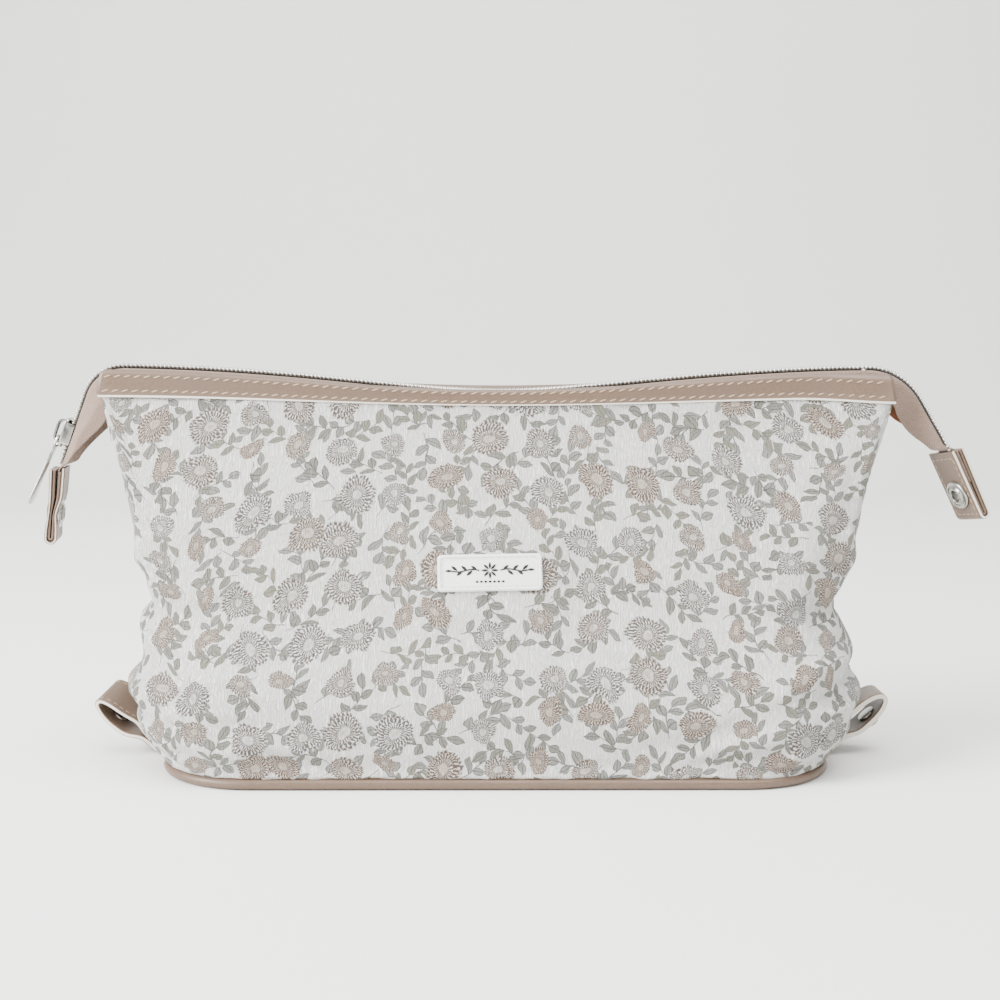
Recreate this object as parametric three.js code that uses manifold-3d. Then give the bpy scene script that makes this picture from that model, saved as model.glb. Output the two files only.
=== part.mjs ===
// A wire-framed makeup bag, in millimetres. The origin is the centre of the base's underside.
// +X runs along the mouth to the bag's right, the front faces -Y and +Z is up.
// Each half of the mouth is a stiff flap that folds outward about a line across its own panel.

import * as THREE from 'three';
import { mergeVertices } from 'three/addons/utils/BufferGeometryUtils.js';
import Module from 'manifold-3d';

const wasm = await Module();
wasm.setup();

// ---- Driving sizes ----

// Gaps: between touching pieces, and between the layers of a wall.
const CLEARANCE = 0.3;
const PLY_GAP = 0.35;

// Base
const BASE_LENGTH = 236;
const BASE_DEPTH = 105;
const BASE_CORNER_RADIUS = 34;
const BASE_THICKNESS = 1.6;
const BOARD_THICKNESS = 1.5;
const PIPING_DIAMETER = 3.4;
const PIPING_LIFT = 0.2;

// Walls
const PANEL_THICKNESS = 1.2;
const LINING_THICKNESS = 0.8;
const SEAM_TUCK = 1.5;
const BULGE_HEIGHT = 24;
const BULGE_LENGTH = 257;
const BULGE_DEPTH = 106;
const WAIST_HEIGHT = 56;
const WAIST_LENGTH = 245;
const FOLD_HEIGHT = 60;
const FOLD_DEPTH = 74;
const FOLD_GAP = 1.2;
const SIDE_SEAM_GAP = 0.4;

// Mouth
const BAG_HEIGHT = 140;
const MOUTH_LENGTH = 280;
const MOUTH_SAG = 5;
const MOUTH_OPENING_DEG = 28;
const BAND_HEIGHT = 9;
const BAND_WALL = 0.8;
const WIRE_DIAMETER = 2;
const LEG_END_SPREAD = 4.2;
const WIRE_BEND = 5;
const WIRE_INSET = 0.1;

// Zip
const CHAIN_WIDTH = 6;
const CHAIN_HEIGHT = 2.4;
const CHAIN_RISE = 1.5;
const CHAIN_SPLIT = 0.3;
const TAPE_THICKNESS = 0.8;
const MOUTH_TAPE_DROP = 11;
const TAIL_TAPE_DROP = 11;
const TAIL_TAPE_SPREAD = 0.6;
const MOUTH_ZIP_LENGTH = 267;

// Tails: each turns down round an arc, then runs straight to its tab.
const TAILS = {
  left: { side: -1, radius: 15, turnDeg: 70, straight: 27, tabDeg: 85, twistDeg: 0 },
  right: { side: 1, radius: 22, turnDeg: 61, straight: 20, tabDeg: 65, twistDeg: -18 },
};
const TAIL_GAP = 0.5;

// Slider and pull
const SLIDER_LENGTH = 11;
const SLIDER_WALL = 1;
const SLIDER_PLATE = 1.2;
const SLIDER_PLACE = 16;
const SLIDER_CORNER = 1.6;
const BRIDGE_LENGTH = 9;
const BRIDGE_WIDTH = 2.2;
const BRIDGE_WIRE = 1.2;
const BRIDGE_ROOM = 2.2;
const BRIDGE_BEVEL = 0.8;
const BRIDGE_SINK = 0.4;
const PULL_LENGTH = 27;
const PULL_THICKNESS = 1.2;
const PULL_HEAD_WIDTH = 5.2;
const PULL_NECK_WIDTH = 2.6;
const PULL_END_WIDTH = 5.6;
const PULL_EYE_LENGTH = 3.8;
const PULL_EYE_RIM = 0.6;
const PULL_EYE_GAP = 0.4;
const PULL_NECK_START = 2;
const PULL_NECK_LENGTH = 3;
const PULL_BAR = 1.2;
const PULL_TILT_DEG = 5;

// Tabs
const STRAP_WIDTH = 15;
const TAB_LENGTH = 27;
const TAB_TOP_THICKNESS = 5.4;
const TAB_END_THICKNESS = 4.6;
const TAB_SLIT = 1;
const TAB_SLIT_DEPTH = 20;
const TAB_GAP = 2.2;
const SNAP_PLACE = 16;
const SOCKET_DIAMETER = 10.8;
const SOCKET_HEIGHT = 2;
const SOCKET_MOUTH = 4.6;
const CAP_DIAMETER = 9.5;
const CAP_HEIGHT = 1.2;
const SHANK_DIAMETER = 2.6;

// Side loops
const LOOPS = {
  left: { side: -1, riseDeg: 44, stand: 6 },
  right: { side: 1, riseDeg: 43, stand: 5 },
};
const LOOP_LENGTH = 27;
const LOOP_HALF_HEIGHT = 5.9;
const LOOP_ROOT_HEIGHT = 3.5;
const LOOP_ROOT_LENGTH = 4;
const LOOP_EYE_START = 2;
const LOOP_ROOT_EASE = 4;
const LOOP_FLAT_EASE = 5;
const STRAP_THICKNESS = 1.9;
const LOOP_SNAP_PLACE = 17.2;
const STUD_BASE_DIAMETER = 7;
const STUD_BASE_HEIGHT = 0.7;
const STUD_DIAMETER = 4.2;
const STUD_HEIGHT = 1.9;

// Label
const LABEL_LENGTH = 36;
const LABEL_HEIGHT = 13;
const LABEL_THICKNESS = 1.4;
const LABEL_CORNER = 1.2;
const LABEL_CENTRE_X = -2.5;
const LABEL_CENTRE_Z = 71;

// ---- Sizes that follow from them ----

const radians = THREE.MathUtils.degToRad;
const seamHeight = PIPING_LIFT + PIPING_DIAMETER + CLEARANCE;
const bandBottom = BAG_HEIGHT - BAND_HEIGHT;
const tapeInner = CHAIN_WIDTH / 2 + CLEARANCE;
const bandInner = tapeInner + TAPE_THICKNESS + CLEARANCE;
const wireRoom = WIRE_DIAMETER + 2 * CLEARANCE;
const bandOuter = bandInner + wireRoom + 2 * BAND_WALL;
const wireDepth = bandInner + BAND_WALL + wireRoom / 2;
const wireTop = BAG_HEIGHT - 2 * BAND_WALL - wireRoom / 2;
const panelTopDepth = bandOuter - CLEARANCE * 2;
const wireRoomAtSide = WIRE_DIAMETER + CLEARANCE + PLY_GAP;
const splitSlope = Math.tan(radians(MOUTH_OPENING_DEG / 2));
const liningInset = PANEL_THICKNESS + PLY_GAP;
const legEndHeight = FOLD_HEIGHT + FOLD_GAP - (FOLD_DEPTH / 2 - LEG_END_SPREAD) * splitSlope;

const mouthDrop = (x) => MOUTH_SAG * Math.cos(Math.PI * Math.min(Math.abs(x) / MOUTH_LENGTH, 0.5)) ** 2;

// Eases from a to b as t goes from 0 to 1, flat at both ends.
const ease = (a, b, t) => a + (b - a) * (1 - Math.cos(Math.PI * t)) / 2;

// The bag's half length at a height: out to the bulge, in to the waist, then straight to the mouth.
function halfLengthAt(z) {
  const seam = BASE_LENGTH / 2;
  if (z < BULGE_HEIGHT) {
    const t = (z - seamHeight) / (BULGE_HEIGHT - seamHeight);
    return seam + (BULGE_LENGTH / 2 - seam) * Math.sin(Math.PI / 2 * t);
  }
  if (z < WAIST_HEIGHT) {
    return ease(BULGE_LENGTH / 2, WAIST_LENGTH / 2, (z - BULGE_HEIGHT) / (WAIST_HEIGHT - BULGE_HEIGHT));
  }
  const rise = (z - WAIST_HEIGHT) / (bandBottom - WAIST_HEIGHT);
  return WAIST_LENGTH / 2 + (MOUTH_LENGTH - WAIST_LENGTH) / 2 * rise;
}

// The half depth at a height: a slight bulge, in to the fold line, then a flat slope to the bands.
function halfDepthAt(z) {
  const seam = BASE_DEPTH / 2 - SEAM_TUCK;
  const slope = (FOLD_DEPTH / 2 - panelTopDepth) / (bandBottom - FOLD_HEIGHT);
  if (z >= FOLD_HEIGHT) {
    return FOLD_DEPTH / 2 - slope * (z - FOLD_HEIGHT);
  }
  if (z < BULGE_HEIGHT) {
    const t = (z - seamHeight) / (BULGE_HEIGHT - seamHeight);
    return seam + (BULGE_DEPTH / 2 - seam) * Math.sin(Math.PI / 2 * t);
  }
  // A cubic that leaves the bulge upright and meets the flat slope at the fold.
  const run = FOLD_HEIGHT - BULGE_HEIGHT;
  const t = (z - BULGE_HEIGHT) / run;
  const share = t * t * (3 - 2 * t);
  return BULGE_DEPTH / 2 + (FOLD_DEPTH - BULGE_DEPTH) / 2 * share + slope * run * t * t * (1 - t);
}

// ---- Shaping tools ----

// Turns a geometry's faces outward if its volume comes out negative.
function outward(geometry) {
  const solid = geometry.index ? geometry : mergeVertices(geometry);
  const p = solid.attributes.position;
  const index = solid.index.array;
  const a = new THREE.Vector3();
  const b = new THREE.Vector3();
  const c = new THREE.Vector3();
  let volume = 0;
  for (let i = 0; i < index.length; i += 3) {
    a.fromBufferAttribute(p, index[i]);
    b.fromBufferAttribute(p, index[i + 1]);
    c.fromBufferAttribute(p, index[i + 2]);
    volume += a.dot(b.cross(c));
  }
  if (volume < 0) {
    for (let i = 0; i < index.length; i += 3) {
      [index[i], index[i + 1]] = [index[i + 1], index[i]];
    }
  }
  return solid;
}

// A solid through rings of equal, even count. Open ends are closed by pairing each ring's two halves.
// The second half's quads are split the other way, so that layers laid on each other stay parallel.
function loft(rings, closed = false) {
  const count = rings[0].length;
  const positions = rings.flat().flatMap((p) => [p.x, p.y, p.z]);
  const index = [];
  const quad = (a, b, c, d) => index.push(a, b, c, a, c, d);
  const last = closed ? rings.length : rings.length - 1;
  for (let i = 0; i < last; i += 1) {
    const next = (i + 1) % rings.length;
    for (let k = 0; k < count; k += 1) {
      const after = (k + 1) % count;
      const corners = [i * count + k, next * count + k, next * count + after, i * count + after];
      if (k >= count / 2) {
        corners.push(corners.shift());
      }
      quad(...corners);
    }
  }
  if (!closed) {
    const end = (rings.length - 1) * count;
    for (let k = 0; k < count / 2 - 1; k += 1) {
      const across = count - 1 - k;
      quad(k, k + 1, across - 1, across);
      quad(end + across, end + across - 1, end + k + 1, end + k);
    }
  }
  const geometry = new THREE.BufferGeometry();
  geometry.setAttribute('position', new THREE.Float32BufferAttribute(positions, 3));
  geometry.setIndex(index);
  return outward(geometry);
}

function toSolid(geometry) {
  const plain = geometry.clone();
  plain.deleteAttribute('normal');
  plain.deleteAttribute('uv');
  const merged = mergeVertices(plain, 1e-4);
  return new wasm.Manifold(new wasm.Mesh({
    numProp: 3,
    vertProperties: new Float32Array(merged.attributes.position.array),
    triVerts: new Uint32Array(merged.index.array),
  }));
}

function fromSolid(solid) {
  const { vertProperties, triVerts } = solid.getMesh();
  const geometry = new THREE.BufferGeometry();
  geometry.setAttribute('position', new THREE.Float32BufferAttribute(vertProperties, 3));
  geometry.setIndex([...triVerts]);
  return geometry;
}

function join(...geometries) {
  return fromSolid(geometries.map(toSolid).reduce((whole, piece) => whole.add(piece)));
}

function cut(geometry, tool) {
  return fromSolid(toSolid(geometry).subtract(toSolid(tool)));
}

function roundedRectangle(halfX, halfY, radius) {
  const shape = new THREE.Shape();
  shape.absarc(halfX - radius, halfY - radius, radius, 0, Math.PI / 2);
  shape.absarc(-halfX + radius, halfY - radius, radius, Math.PI / 2, Math.PI);
  shape.absarc(-halfX + radius, -halfY + radius, radius, Math.PI, Math.PI * 1.5);
  shape.absarc(halfX - radius, -halfY + radius, radius, Math.PI * 1.5, Math.PI * 2);
  return shape;
}

// Extrudes a shape drawn in X and Y upward from a height.
function plate(shape, bottom, thickness, curveSegments = 8) {
  const geometry = new THREE.ExtrudeGeometry(shape, { depth: thickness, bevelEnabled: false, curveSegments });
  return geometry.translate(0, 0, bottom);
}

// Extrudes a shape drawn in X and Z across the depth, centred on Y = 0.
function acrossDepth(shape, width, curveSegments = 8) {
  const geometry = new THREE.ExtrudeGeometry(shape, { depth: width, bevelEnabled: false, curveSegments });
  return geometry.translate(0, 0, -width / 2).rotateX(Math.PI / 2);
}

// A turned piece about the Z axis, from [radius, height] points.
function turned(profile, segments = 16) {
  const points = profile.map(([r, h]) => new THREE.Vector2(r, h));
  return outward(new THREE.LatheGeometry(points, segments).rotateX(Math.PI / 2));
}

function pin(diameter, bottom, top, segments = 16) {
  return turned([[0, bottom], [diameter / 2, bottom], [diameter / 2, top], [0, top]], segments);
}

function named(name, geometry, material) {
  const mesh = new THREE.Mesh(geometry, material);
  mesh.name = name;
  return mesh;
}

// ---- Materials ----

const finish = (color, roughness, metalness = 0) => (
  new THREE.MeshStandardMaterial({ color, roughness, metalness })
);
const printedFabric = finish('#e6e1db', 0.85);
const blushLeather = finish('#c9b3a7', 0.5);
const tanLining = finish('#b5773f', 0.8);
const blushTape = finish('#dccabf', 0.9);
const silverMetal = finish('#c9c9c6', 0.25, 1);
const springSteel = finish('#8f9294', 0.4, 1);
const greyBoard = finish('#8c8378', 0.95);
const whiteRubber = finish('#f1f0ee', 0.6);

// ---- Walls ----

const SIDE_STEPS = 2;
const CORNER_STEPS = 4;
const FRONT_STEPS = 10;

// One half of the bag's outline at a height, from the left side seam round the front to the right one.
// Each point is [x, depth]. The half starts edgeDepth away from the middle of the side.
function halfOutline(halfLength, halfDepth, edgeDepth, radiusLimit) {
  const radius = Math.min(radiusLimit, 0.85 * (halfDepth - edgeDepth));
  const sideEnd = halfDepth - radius;
  const points = [];
  for (let i = 0; i < SIDE_STEPS; i += 1) {
    points.push([-halfLength, edgeDepth + (sideEnd - edgeDepth) * i / SIDE_STEPS]);
  }
  for (let i = 0; i < CORNER_STEPS; i += 1) {
    const angle = Math.PI / 2 * i / CORNER_STEPS;
    points.push([-halfLength + radius * (1 - Math.cos(angle)), sideEnd + radius * Math.sin(angle)]);
  }
  for (let i = 0; i <= FRONT_STEPS / 2; i += 1) {
    points.push([(radius - halfLength) * (1 - 2 * i / FRONT_STEPS), halfDepth]);
  }
  const mirrored = points.slice(0, -1).reverse().map(([x, depth]) => [-x, depth]);
  return [...points, ...mirrored];
}

// A half wall: a layer between two insets from the bag's outside, from one height to another at
// each station round it. facing is -1 for the front and 1 for the back.
function halfWall({ facing, outerInset, thickness, sideInset, edgeDepth, levels, heightAt }) {
  const outlineAt = (z, inset) => halfOutline(
    halfLengthAt(z) - sideInset - inset,
    halfDepthAt(z) - inset,
    edgeDepth,
    BASE_CORNER_RADIUS - inset,
  );
  const rings = outlineAt(FOLD_HEIGHT, 0).map((atFold, station) => {
    const surface = (inset) => levels.map((t) => {
      const z = heightAt(t, atFold);
      const [x, depth] = outlineAt(z, inset)[station];
      return new THREE.Vector3(x, facing * depth, z);
    });
    return [...surface(outerInset), ...surface(outerInset + thickness).reverse()];
  });
  return loft(rings);
}

// The height of the split between the fixed wall and the flap, which drops towards the side seams.
const splitHeight = (depth) => FOLD_HEIGHT - (FOLD_DEPTH / 2 - depth) * splitSlope;

function lowerWall(facing, outerInset, thickness) {
  return halfWall({
    facing,
    outerInset,
    thickness,
    sideInset: 0,
    edgeDepth: SIDE_SEAM_GAP / 2,
    levels: [0, 0.12, 0.24, 0.36, 0.6, 0.8, 1],
    heightAt: (t, [, depth]) => {
      const top = splitHeight(depth) - FOLD_GAP / 2;
      return seamHeight + (top - seamHeight) * t;
    },
  });
}

function upperWall(facing, outerInset, thickness) {
  return halfWall({
    facing,
    outerInset,
    thickness,
    sideInset: wireRoomAtSide,
    edgeDepth: LEG_END_SPREAD + WIRE_DIAMETER / 2 + PLY_GAP,
    levels: [0, 0.35, 0.7, 1],
    heightAt: (t, [x, depth]) => {
      const bottom = splitHeight(depth) + FOLD_GAP / 2;
      const top = bandBottom - CLEARANCE - mouthDrop(x);
      return bottom + (top - bottom) * t;
    },
  });
}

// ---- Base ----

const innerBase = () => {
  const inset = PIPING_DIAMETER + CLEARANCE;
  return roundedRectangle(BASE_LENGTH / 2 - inset, BASE_DEPTH / 2 - inset, BASE_CORNER_RADIUS - inset);
};

function basePanel() {
  return plate(innerBase(), 0, BASE_THICKNESS);
}

function baseBoard() {
  return plate(innerBase(), BASE_THICKNESS + CLEARANCE, BOARD_THICKNESS);
}

// The lining's floor, inside the walls' lining. Its corners clear the flats of the walls' corners.
function baseLining() {
  const bottom = BASE_THICKNESS + BOARD_THICKNESS + 2 * CLEARANCE;
  const cornerFlat = BASE_CORNER_RADIUS * (1 - Math.cos(Math.PI / 4 / CORNER_STEPS));
  const inset = liningInset + LINING_THICKNESS + CLEARANCE + cornerFlat;
  const outline = roundedRectangle(
    BASE_LENGTH / 2 - inset,
    BASE_DEPTH / 2 - SEAM_TUCK - inset,
    BASE_CORNER_RADIUS - inset,
  );
  return plate(outline, bottom, LINING_THICKNESS);
}

function basePiping() {
  const inset = PIPING_DIAMETER / 2;
  const path = roundedRectangle(
    BASE_LENGTH / 2 - inset,
    BASE_DEPTH / 2 - inset,
    BASE_CORNER_RADIUS - inset,
  ).getPoints(8).slice(0, -1);
  const sides = 6;
  const rings = path.map((point, i) => {
    const before = path[(i + path.length - 1) % path.length];
    const after = path[(i + 1) % path.length];
    const along = after.clone().sub(before).normalize();
    return Array.from({ length: sides }, (_, k) => {
      const angle = Math.PI * 2 * k / sides + Math.PI / 6;
      const out = inset * Math.cos(angle);
      return new THREE.Vector3(
        point.x + along.y * out,
        point.y - along.x * out,
        PIPING_LIFT + inset + inset * Math.sin(angle),
      );
    });
  });
  return loft(rings, true);
}

// ---- Mouth ----

// Carries a section of [depth, height] points along the mouth. The height is over the bag's drop there.
function alongMouth(facing, halfLength, section, steps = 20) {
  const rings = Array.from({ length: steps + 1 }, (_, i) => {
    const x = halfLength * (2 * i / steps - 1);
    return section.map(([depth, z]) => new THREE.Vector3(x, facing * depth, z - mouthDrop(x)));
  });
  return loft(rings);
}

// The leather band, folded over the wire and open below where the panel's edge is sewn in.
function band(facing) {
  const crown = BAND_WALL * 0.75;
  const section = [
    [bandOuter, bandBottom],
    [bandOuter, BAG_HEIGHT - crown],
    [bandOuter - crown, BAG_HEIGHT],
    [bandInner + crown, BAG_HEIGHT],
    [bandInner, BAG_HEIGHT - crown],
    [bandInner, bandBottom],
    [bandInner + BAND_WALL, bandBottom],
    [bandInner + BAND_WALL, BAG_HEIGHT - 2 * BAND_WALL],
    [bandOuter - BAND_WALL, BAG_HEIGHT - 2 * BAND_WALL],
    [bandOuter - BAND_WALL, bandBottom],
  ];
  const shape = new THREE.Shape(section.map(([depth, z]) => new THREE.Vector2(depth, z)));
  const steps = 22;
  const slab = new THREE.ExtrudeGeometry(shape, { depth: 1, bevelEnabled: false, steps });
  const position = slab.attributes.position;
  for (let i = 0; i < position.count; i += 1) {
    const x = (position.getZ(i) - 0.5) * MOUTH_LENGTH;
    const depth = position.getX(i);
    position.setXYZ(i, x, facing * depth, position.getY(i) - mouthDrop(x));
  }
  slab.deleteAttribute('normal');
  slab.deleteAttribute('uv');
  return outward(mergeVertices(slab));
}

// The spring wire: along the band's channel, round both corners and down the side edges.
function wire(facing) {
  const legX = (z) => halfLengthAt(z) - WIRE_DIAMETER / 2 - WIRE_INSET;
  const cornerX = legX(wireTop - WIRE_BEND);
  const cornerCut = WIRE_BEND * (1 - Math.SQRT1_2);
  const half = [];
  for (let i = 0; i <= 9; i += 1) {
    const x = (cornerX - WIRE_BEND) * i / 9;
    half.push(new THREE.Vector3(x, facing * wireDepth, wireTop - mouthDrop(x)));
  }
  half.push(new THREE.Vector3(cornerX - cornerCut, facing * wireDepth, wireTop - cornerCut));
  const legSteps = 6;
  for (let i = 0; i <= legSteps; i += 1) {
    const t = i / legSteps;
    const z = wireTop - WIRE_BEND + (legEndHeight - wireTop + WIRE_BEND) * t;
    const depth = wireDepth + (LEG_END_SPREAD - wireDepth) * t;
    half.push(new THREE.Vector3(legX(z), facing * depth, z));
  }
  const mirrored = half.slice(1).reverse().map((p) => new THREE.Vector3(-p.x, p.y, p.z));
  const path = new THREE.CatmullRomCurve3([...mirrored, ...half], false, 'centripetal');
  const section = new THREE.Shape();
  section.absarc(0, 0, WIRE_DIAMETER / 2, 0, Math.PI * 2);
  return new THREE.ExtrudeGeometry(section, {
    steps: 64,
    curveSegments: 3,
    extrudePath: path,
    bevelEnabled: false,
  });
}

const chainSection = (bottom, top) => [
  [CHAIN_SPLIT / 2, bottom],
  [CHAIN_SPLIT / 2, top],
  [CHAIN_WIDTH / 2, top],
  [CHAIN_WIDTH / 2, bottom],
];

function mouthChain(facing) {
  const bottom = BAG_HEIGHT + CHAIN_RISE - CHAIN_HEIGHT / 2;
  return alongMouth(facing, MOUTH_ZIP_LENGTH / 2, chainSection(bottom, bottom + CHAIN_HEIGHT));
}

function mouthTape(facing) {
  const top = BAG_HEIGHT + CHAIN_RISE;
  const section = [
    [tapeInner, top - MOUTH_TAPE_DROP],
    [tapeInner, top],
    [tapeInner + TAPE_THICKNESS, top],
    [tapeInner + TAPE_THICKNESS, top - MOUTH_TAPE_DROP],
  ];
  return alongMouth(facing, MOUTH_ZIP_LENGTH / 2, section);
}

// ---- Tails ----

const tailStart = MOUTH_ZIP_LENGTH / 2 + TAIL_GAP;
const tailTop = BAG_HEIGHT + CHAIN_RISE - mouthDrop(tailStart);
const tailArc = (tail) => tail.radius * radians(tail.turnDeg);
const tailLength = (tail) => tailArc(tail) + tail.straight;

// The chain's centre at a distance along a tail, and how far it has turned down there.
function tailFrame(tail, distance) {
  const arc = tailArc(tail);
  const turn = Math.min(distance, arc) / tail.radius;
  const beyond = Math.max(distance - arc, 0);
  const x = tailStart + tail.radius * Math.sin(turn) + beyond * Math.cos(turn);
  const z = tailTop - tail.radius * (1 - Math.cos(turn)) - beyond * Math.sin(turn);
  return { x: tail.side * x, z, turn };
}

// Carries a section of [depth, rise] points along a tail. The rise is outward from the chain.
function alongTail(tail, facing, section) {
  const arcSteps = 8;
  const arc = tailArc(tail);
  const stops = Array.from({ length: arcSteps + 1 }, (_, i) => arc * i / arcSteps);
  stops.push(tailLength(tail));
  const rings = stops.map((distance) => {
    const { x, z, turn } = tailFrame(tail, distance);
    return section.map(([depth, rise]) => new THREE.Vector3(
      x + tail.side * rise * Math.sin(turn),
      facing * depth,
      z + rise * Math.cos(turn),
    ));
  });
  return loft(rings);
}

function tailChain(tail, facing) {
  return alongTail(tail, facing, chainSection(-CHAIN_HEIGHT / 2, CHAIN_HEIGHT / 2));
}

function tailTape(tail, facing) {
  const top = -CHAIN_HEIGHT / 2 - CLEARANCE;
  return alongTail(tail, facing, [
    [TAIL_TAPE_SPREAD, top - TAIL_TAPE_DROP],
    [TAIL_TAPE_SPREAD, top],
    [TAIL_TAPE_SPREAD + TAPE_THICKNESS, top],
    [TAIL_TAPE_SPREAD + TAPE_THICKNESS, top - TAIL_TAPE_DROP],
  ]);
}

// A group whose X runs outward and down at an angle from a point, and whose Z faces out and up.
function placed(side, x, z, downDeg) {
  const group = new THREE.Group();
  group.position.set(x, 0, z);
  group.rotation.set(0, side * radians(downDeg), side > 0 ? 0 : Math.PI);
  return group;
}

// ---- Slider and pull, drawn with X down the tail and Z out from the chain ----

const sliderTop = CHAIN_HEIGHT / 2 + CLEARANCE + SLIDER_PLATE;

function sliderBody() {
  const inner = CHAIN_WIDTH / 2 + CLEARANCE;
  const outer = inner + SLIDER_WALL;
  const flangeTop = sliderTop - SLIDER_PLATE / 2;
  const flangeHeight = flangeTop + CHAIN_HEIGHT / 2;
  const outline = roundedRectangle(SLIDER_LENGTH / 2, outer, SLIDER_CORNER);
  const top = plate(outline, sliderTop - SLIDER_PLATE, SLIDER_PLATE, 4);
  const flanges = [-1, 1].map((edge) => (
    new THREE.BoxGeometry(SLIDER_LENGTH - 2 * SLIDER_CORNER, SLIDER_WALL, flangeHeight)
      .translate(0, edge * (inner + SLIDER_WALL / 2), flangeTop - flangeHeight / 2)
  ));
  const half = BRIDGE_LENGTH / 2;
  const crown = sliderTop + BRIDGE_ROOM + BRIDGE_WIRE;
  const foot = sliderTop - BRIDGE_SINK;
  const arch = new THREE.Shape([
    [-half, foot],
    [-half, crown - BRIDGE_BEVEL],
    [BRIDGE_BEVEL - half, crown],
    [half - BRIDGE_BEVEL, crown],
    [half, crown - BRIDGE_BEVEL],
    [half, foot],
    [half - BRIDGE_WIRE, foot],
    [half - BRIDGE_WIRE, sliderTop + BRIDGE_ROOM],
    [BRIDGE_WIRE - half, sliderTop + BRIDGE_ROOM],
    [BRIDGE_WIRE - half, foot],
  ].map(([x, z]) => new THREE.Vector2(x, z)));
  return join(top, ...flanges, acrossDepth(arch, BRIDGE_WIDTH));
}

const pullPivotX = BRIDGE_LENGTH / 2 - BRIDGE_WIRE - PULL_BAR * 0.85;
const pullPivotZ = sliderTop + BRIDGE_ROOM / 2;

function pull() {
  const bar = PULL_BAR / 2;
  const eyeEnd = bar + PULL_EYE_LENGTH;
  const endRadius = PULL_END_WIDTH / 2;
  const head = PULL_HEAD_WIDTH / 2;
  const neck = PULL_NECK_WIDTH / 2;
  const neckStart = eyeEnd + PULL_NECK_START;
  const neckEnd = neckStart + PULL_NECK_LENGTH;
  const shape = new THREE.Shape();
  shape.moveTo(-bar, -head);
  shape.lineTo(eyeEnd, -head);
  shape.lineTo(neckStart, -neck);
  shape.lineTo(neckEnd, -neck);
  shape.lineTo(PULL_LENGTH - endRadius, -endRadius);
  shape.absarc(PULL_LENGTH - endRadius, 0, endRadius, -Math.PI / 2, Math.PI / 2);
  shape.lineTo(neckEnd, neck);
  shape.lineTo(neckStart, neck);
  shape.lineTo(eyeEnd, head);
  shape.lineTo(-bar, head);
  const eyeHalf = BRIDGE_WIDTH / 2 + PULL_EYE_GAP;
  const eye = new THREE.Path();
  eye.moveTo(bar, -eyeHalf);
  eye.lineTo(eyeEnd - PULL_EYE_RIM, -eyeHalf);
  eye.lineTo(eyeEnd - PULL_EYE_RIM, eyeHalf);
  eye.lineTo(bar, eyeHalf);
  shape.holes.push(eye);
  return plate(shape, -PULL_THICKNESS / 2, PULL_THICKNESS, 5);
}

function addSlider(bag) {
  const tail = TAILS.left;
  const { x, z, turn } = tailFrame(tail, tailArc(tail) + SLIDER_PLACE);
  const group = placed(tail.side, x, z, THREE.MathUtils.radToDeg(turn));
  group.add(named('zip_slider', sliderBody(), silverMetal));
  const pullMesh = named('zip_pull', pull(), silverMetal);
  pullMesh.position.set(pullPivotX, 0, pullPivotZ);
  pullMesh.rotation.y = -radians(PULL_TILT_DEG);
  group.add(pullMesh);
  bag.add(group);
}

// ---- Tabs, drawn with X down the tab and Z out from the bag ----

const tabHalfAt = (x) => {
  const share = x / (TAB_LENGTH - TAB_END_THICKNESS / 2);
  return (TAB_TOP_THICKNESS + (TAB_END_THICKNESS - TAB_TOP_THICKNESS) * share) / 2;
};

// The leather strip, folded at its lower end round a slit that takes the tape's end.
function tabLeather() {
  const endRadius = TAB_END_THICKNESS / 2;
  const slit = TAB_SLIT / 2;
  const shape = new THREE.Shape();
  shape.moveTo(0, slit);
  shape.lineTo(0, tabHalfAt(0));
  shape.lineTo(TAB_LENGTH - endRadius, endRadius);
  shape.absarc(TAB_LENGTH - endRadius, 0, endRadius, Math.PI / 2, -Math.PI / 2, true);
  shape.lineTo(0, -tabHalfAt(0));
  shape.lineTo(0, -slit);
  shape.lineTo(TAB_SLIT_DEPTH, -slit);
  shape.lineTo(TAB_SLIT_DEPTH, slit);
  const hole = pin(SHANK_DIAMETER + 2 * CLEARANCE, -TAB_TOP_THICKNESS, TAB_TOP_THICKNESS, 12);
  return cut(acrossDepth(shape, STRAP_WIDTH, 6), hole.translate(SNAP_PLACE, 0, 0));
}

// The snap's socket: a rolled ring round the hole that takes a stud.
function socket() {
  const rim = SOCKET_DIAMETER / 2;
  const mouth = SOCKET_MOUTH / 2;
  return turned([
    [0, 0],
    [rim, 0],
    [rim, SOCKET_HEIGHT * 0.4],
    [rim - 1, SOCKET_HEIGHT * 0.7],
    [mouth + 1.4, SOCKET_HEIGHT],
    [mouth + 0.4, SOCKET_HEIGHT],
    [mouth, SOCKET_HEIGHT * 0.8],
    [mouth, SOCKET_HEIGHT * 0.3],
    [0, SOCKET_HEIGHT * 0.3],
  ]);
}

// The snap's cap, with the shank that goes through the leather.
function cap(shankLength) {
  const rim = CAP_DIAMETER / 2;
  return turned([
    [0, -shankLength],
    [SHANK_DIAMETER / 2, -shankLength],
    [SHANK_DIAMETER / 2, 0],
    [rim, 0],
    [rim, CAP_HEIGHT * 0.4],
    [rim * 0.6, CAP_HEIGHT],
    [0, CAP_HEIGHT],
  ]);
}

function tabPlace(tail) {
  const end = tailFrame(tail, tailLength(tail));
  return {
    x: end.x + tail.side * TAB_GAP * Math.cos(end.turn),
    z: end.z - TAB_GAP * Math.sin(end.turn),
  };
}

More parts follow.
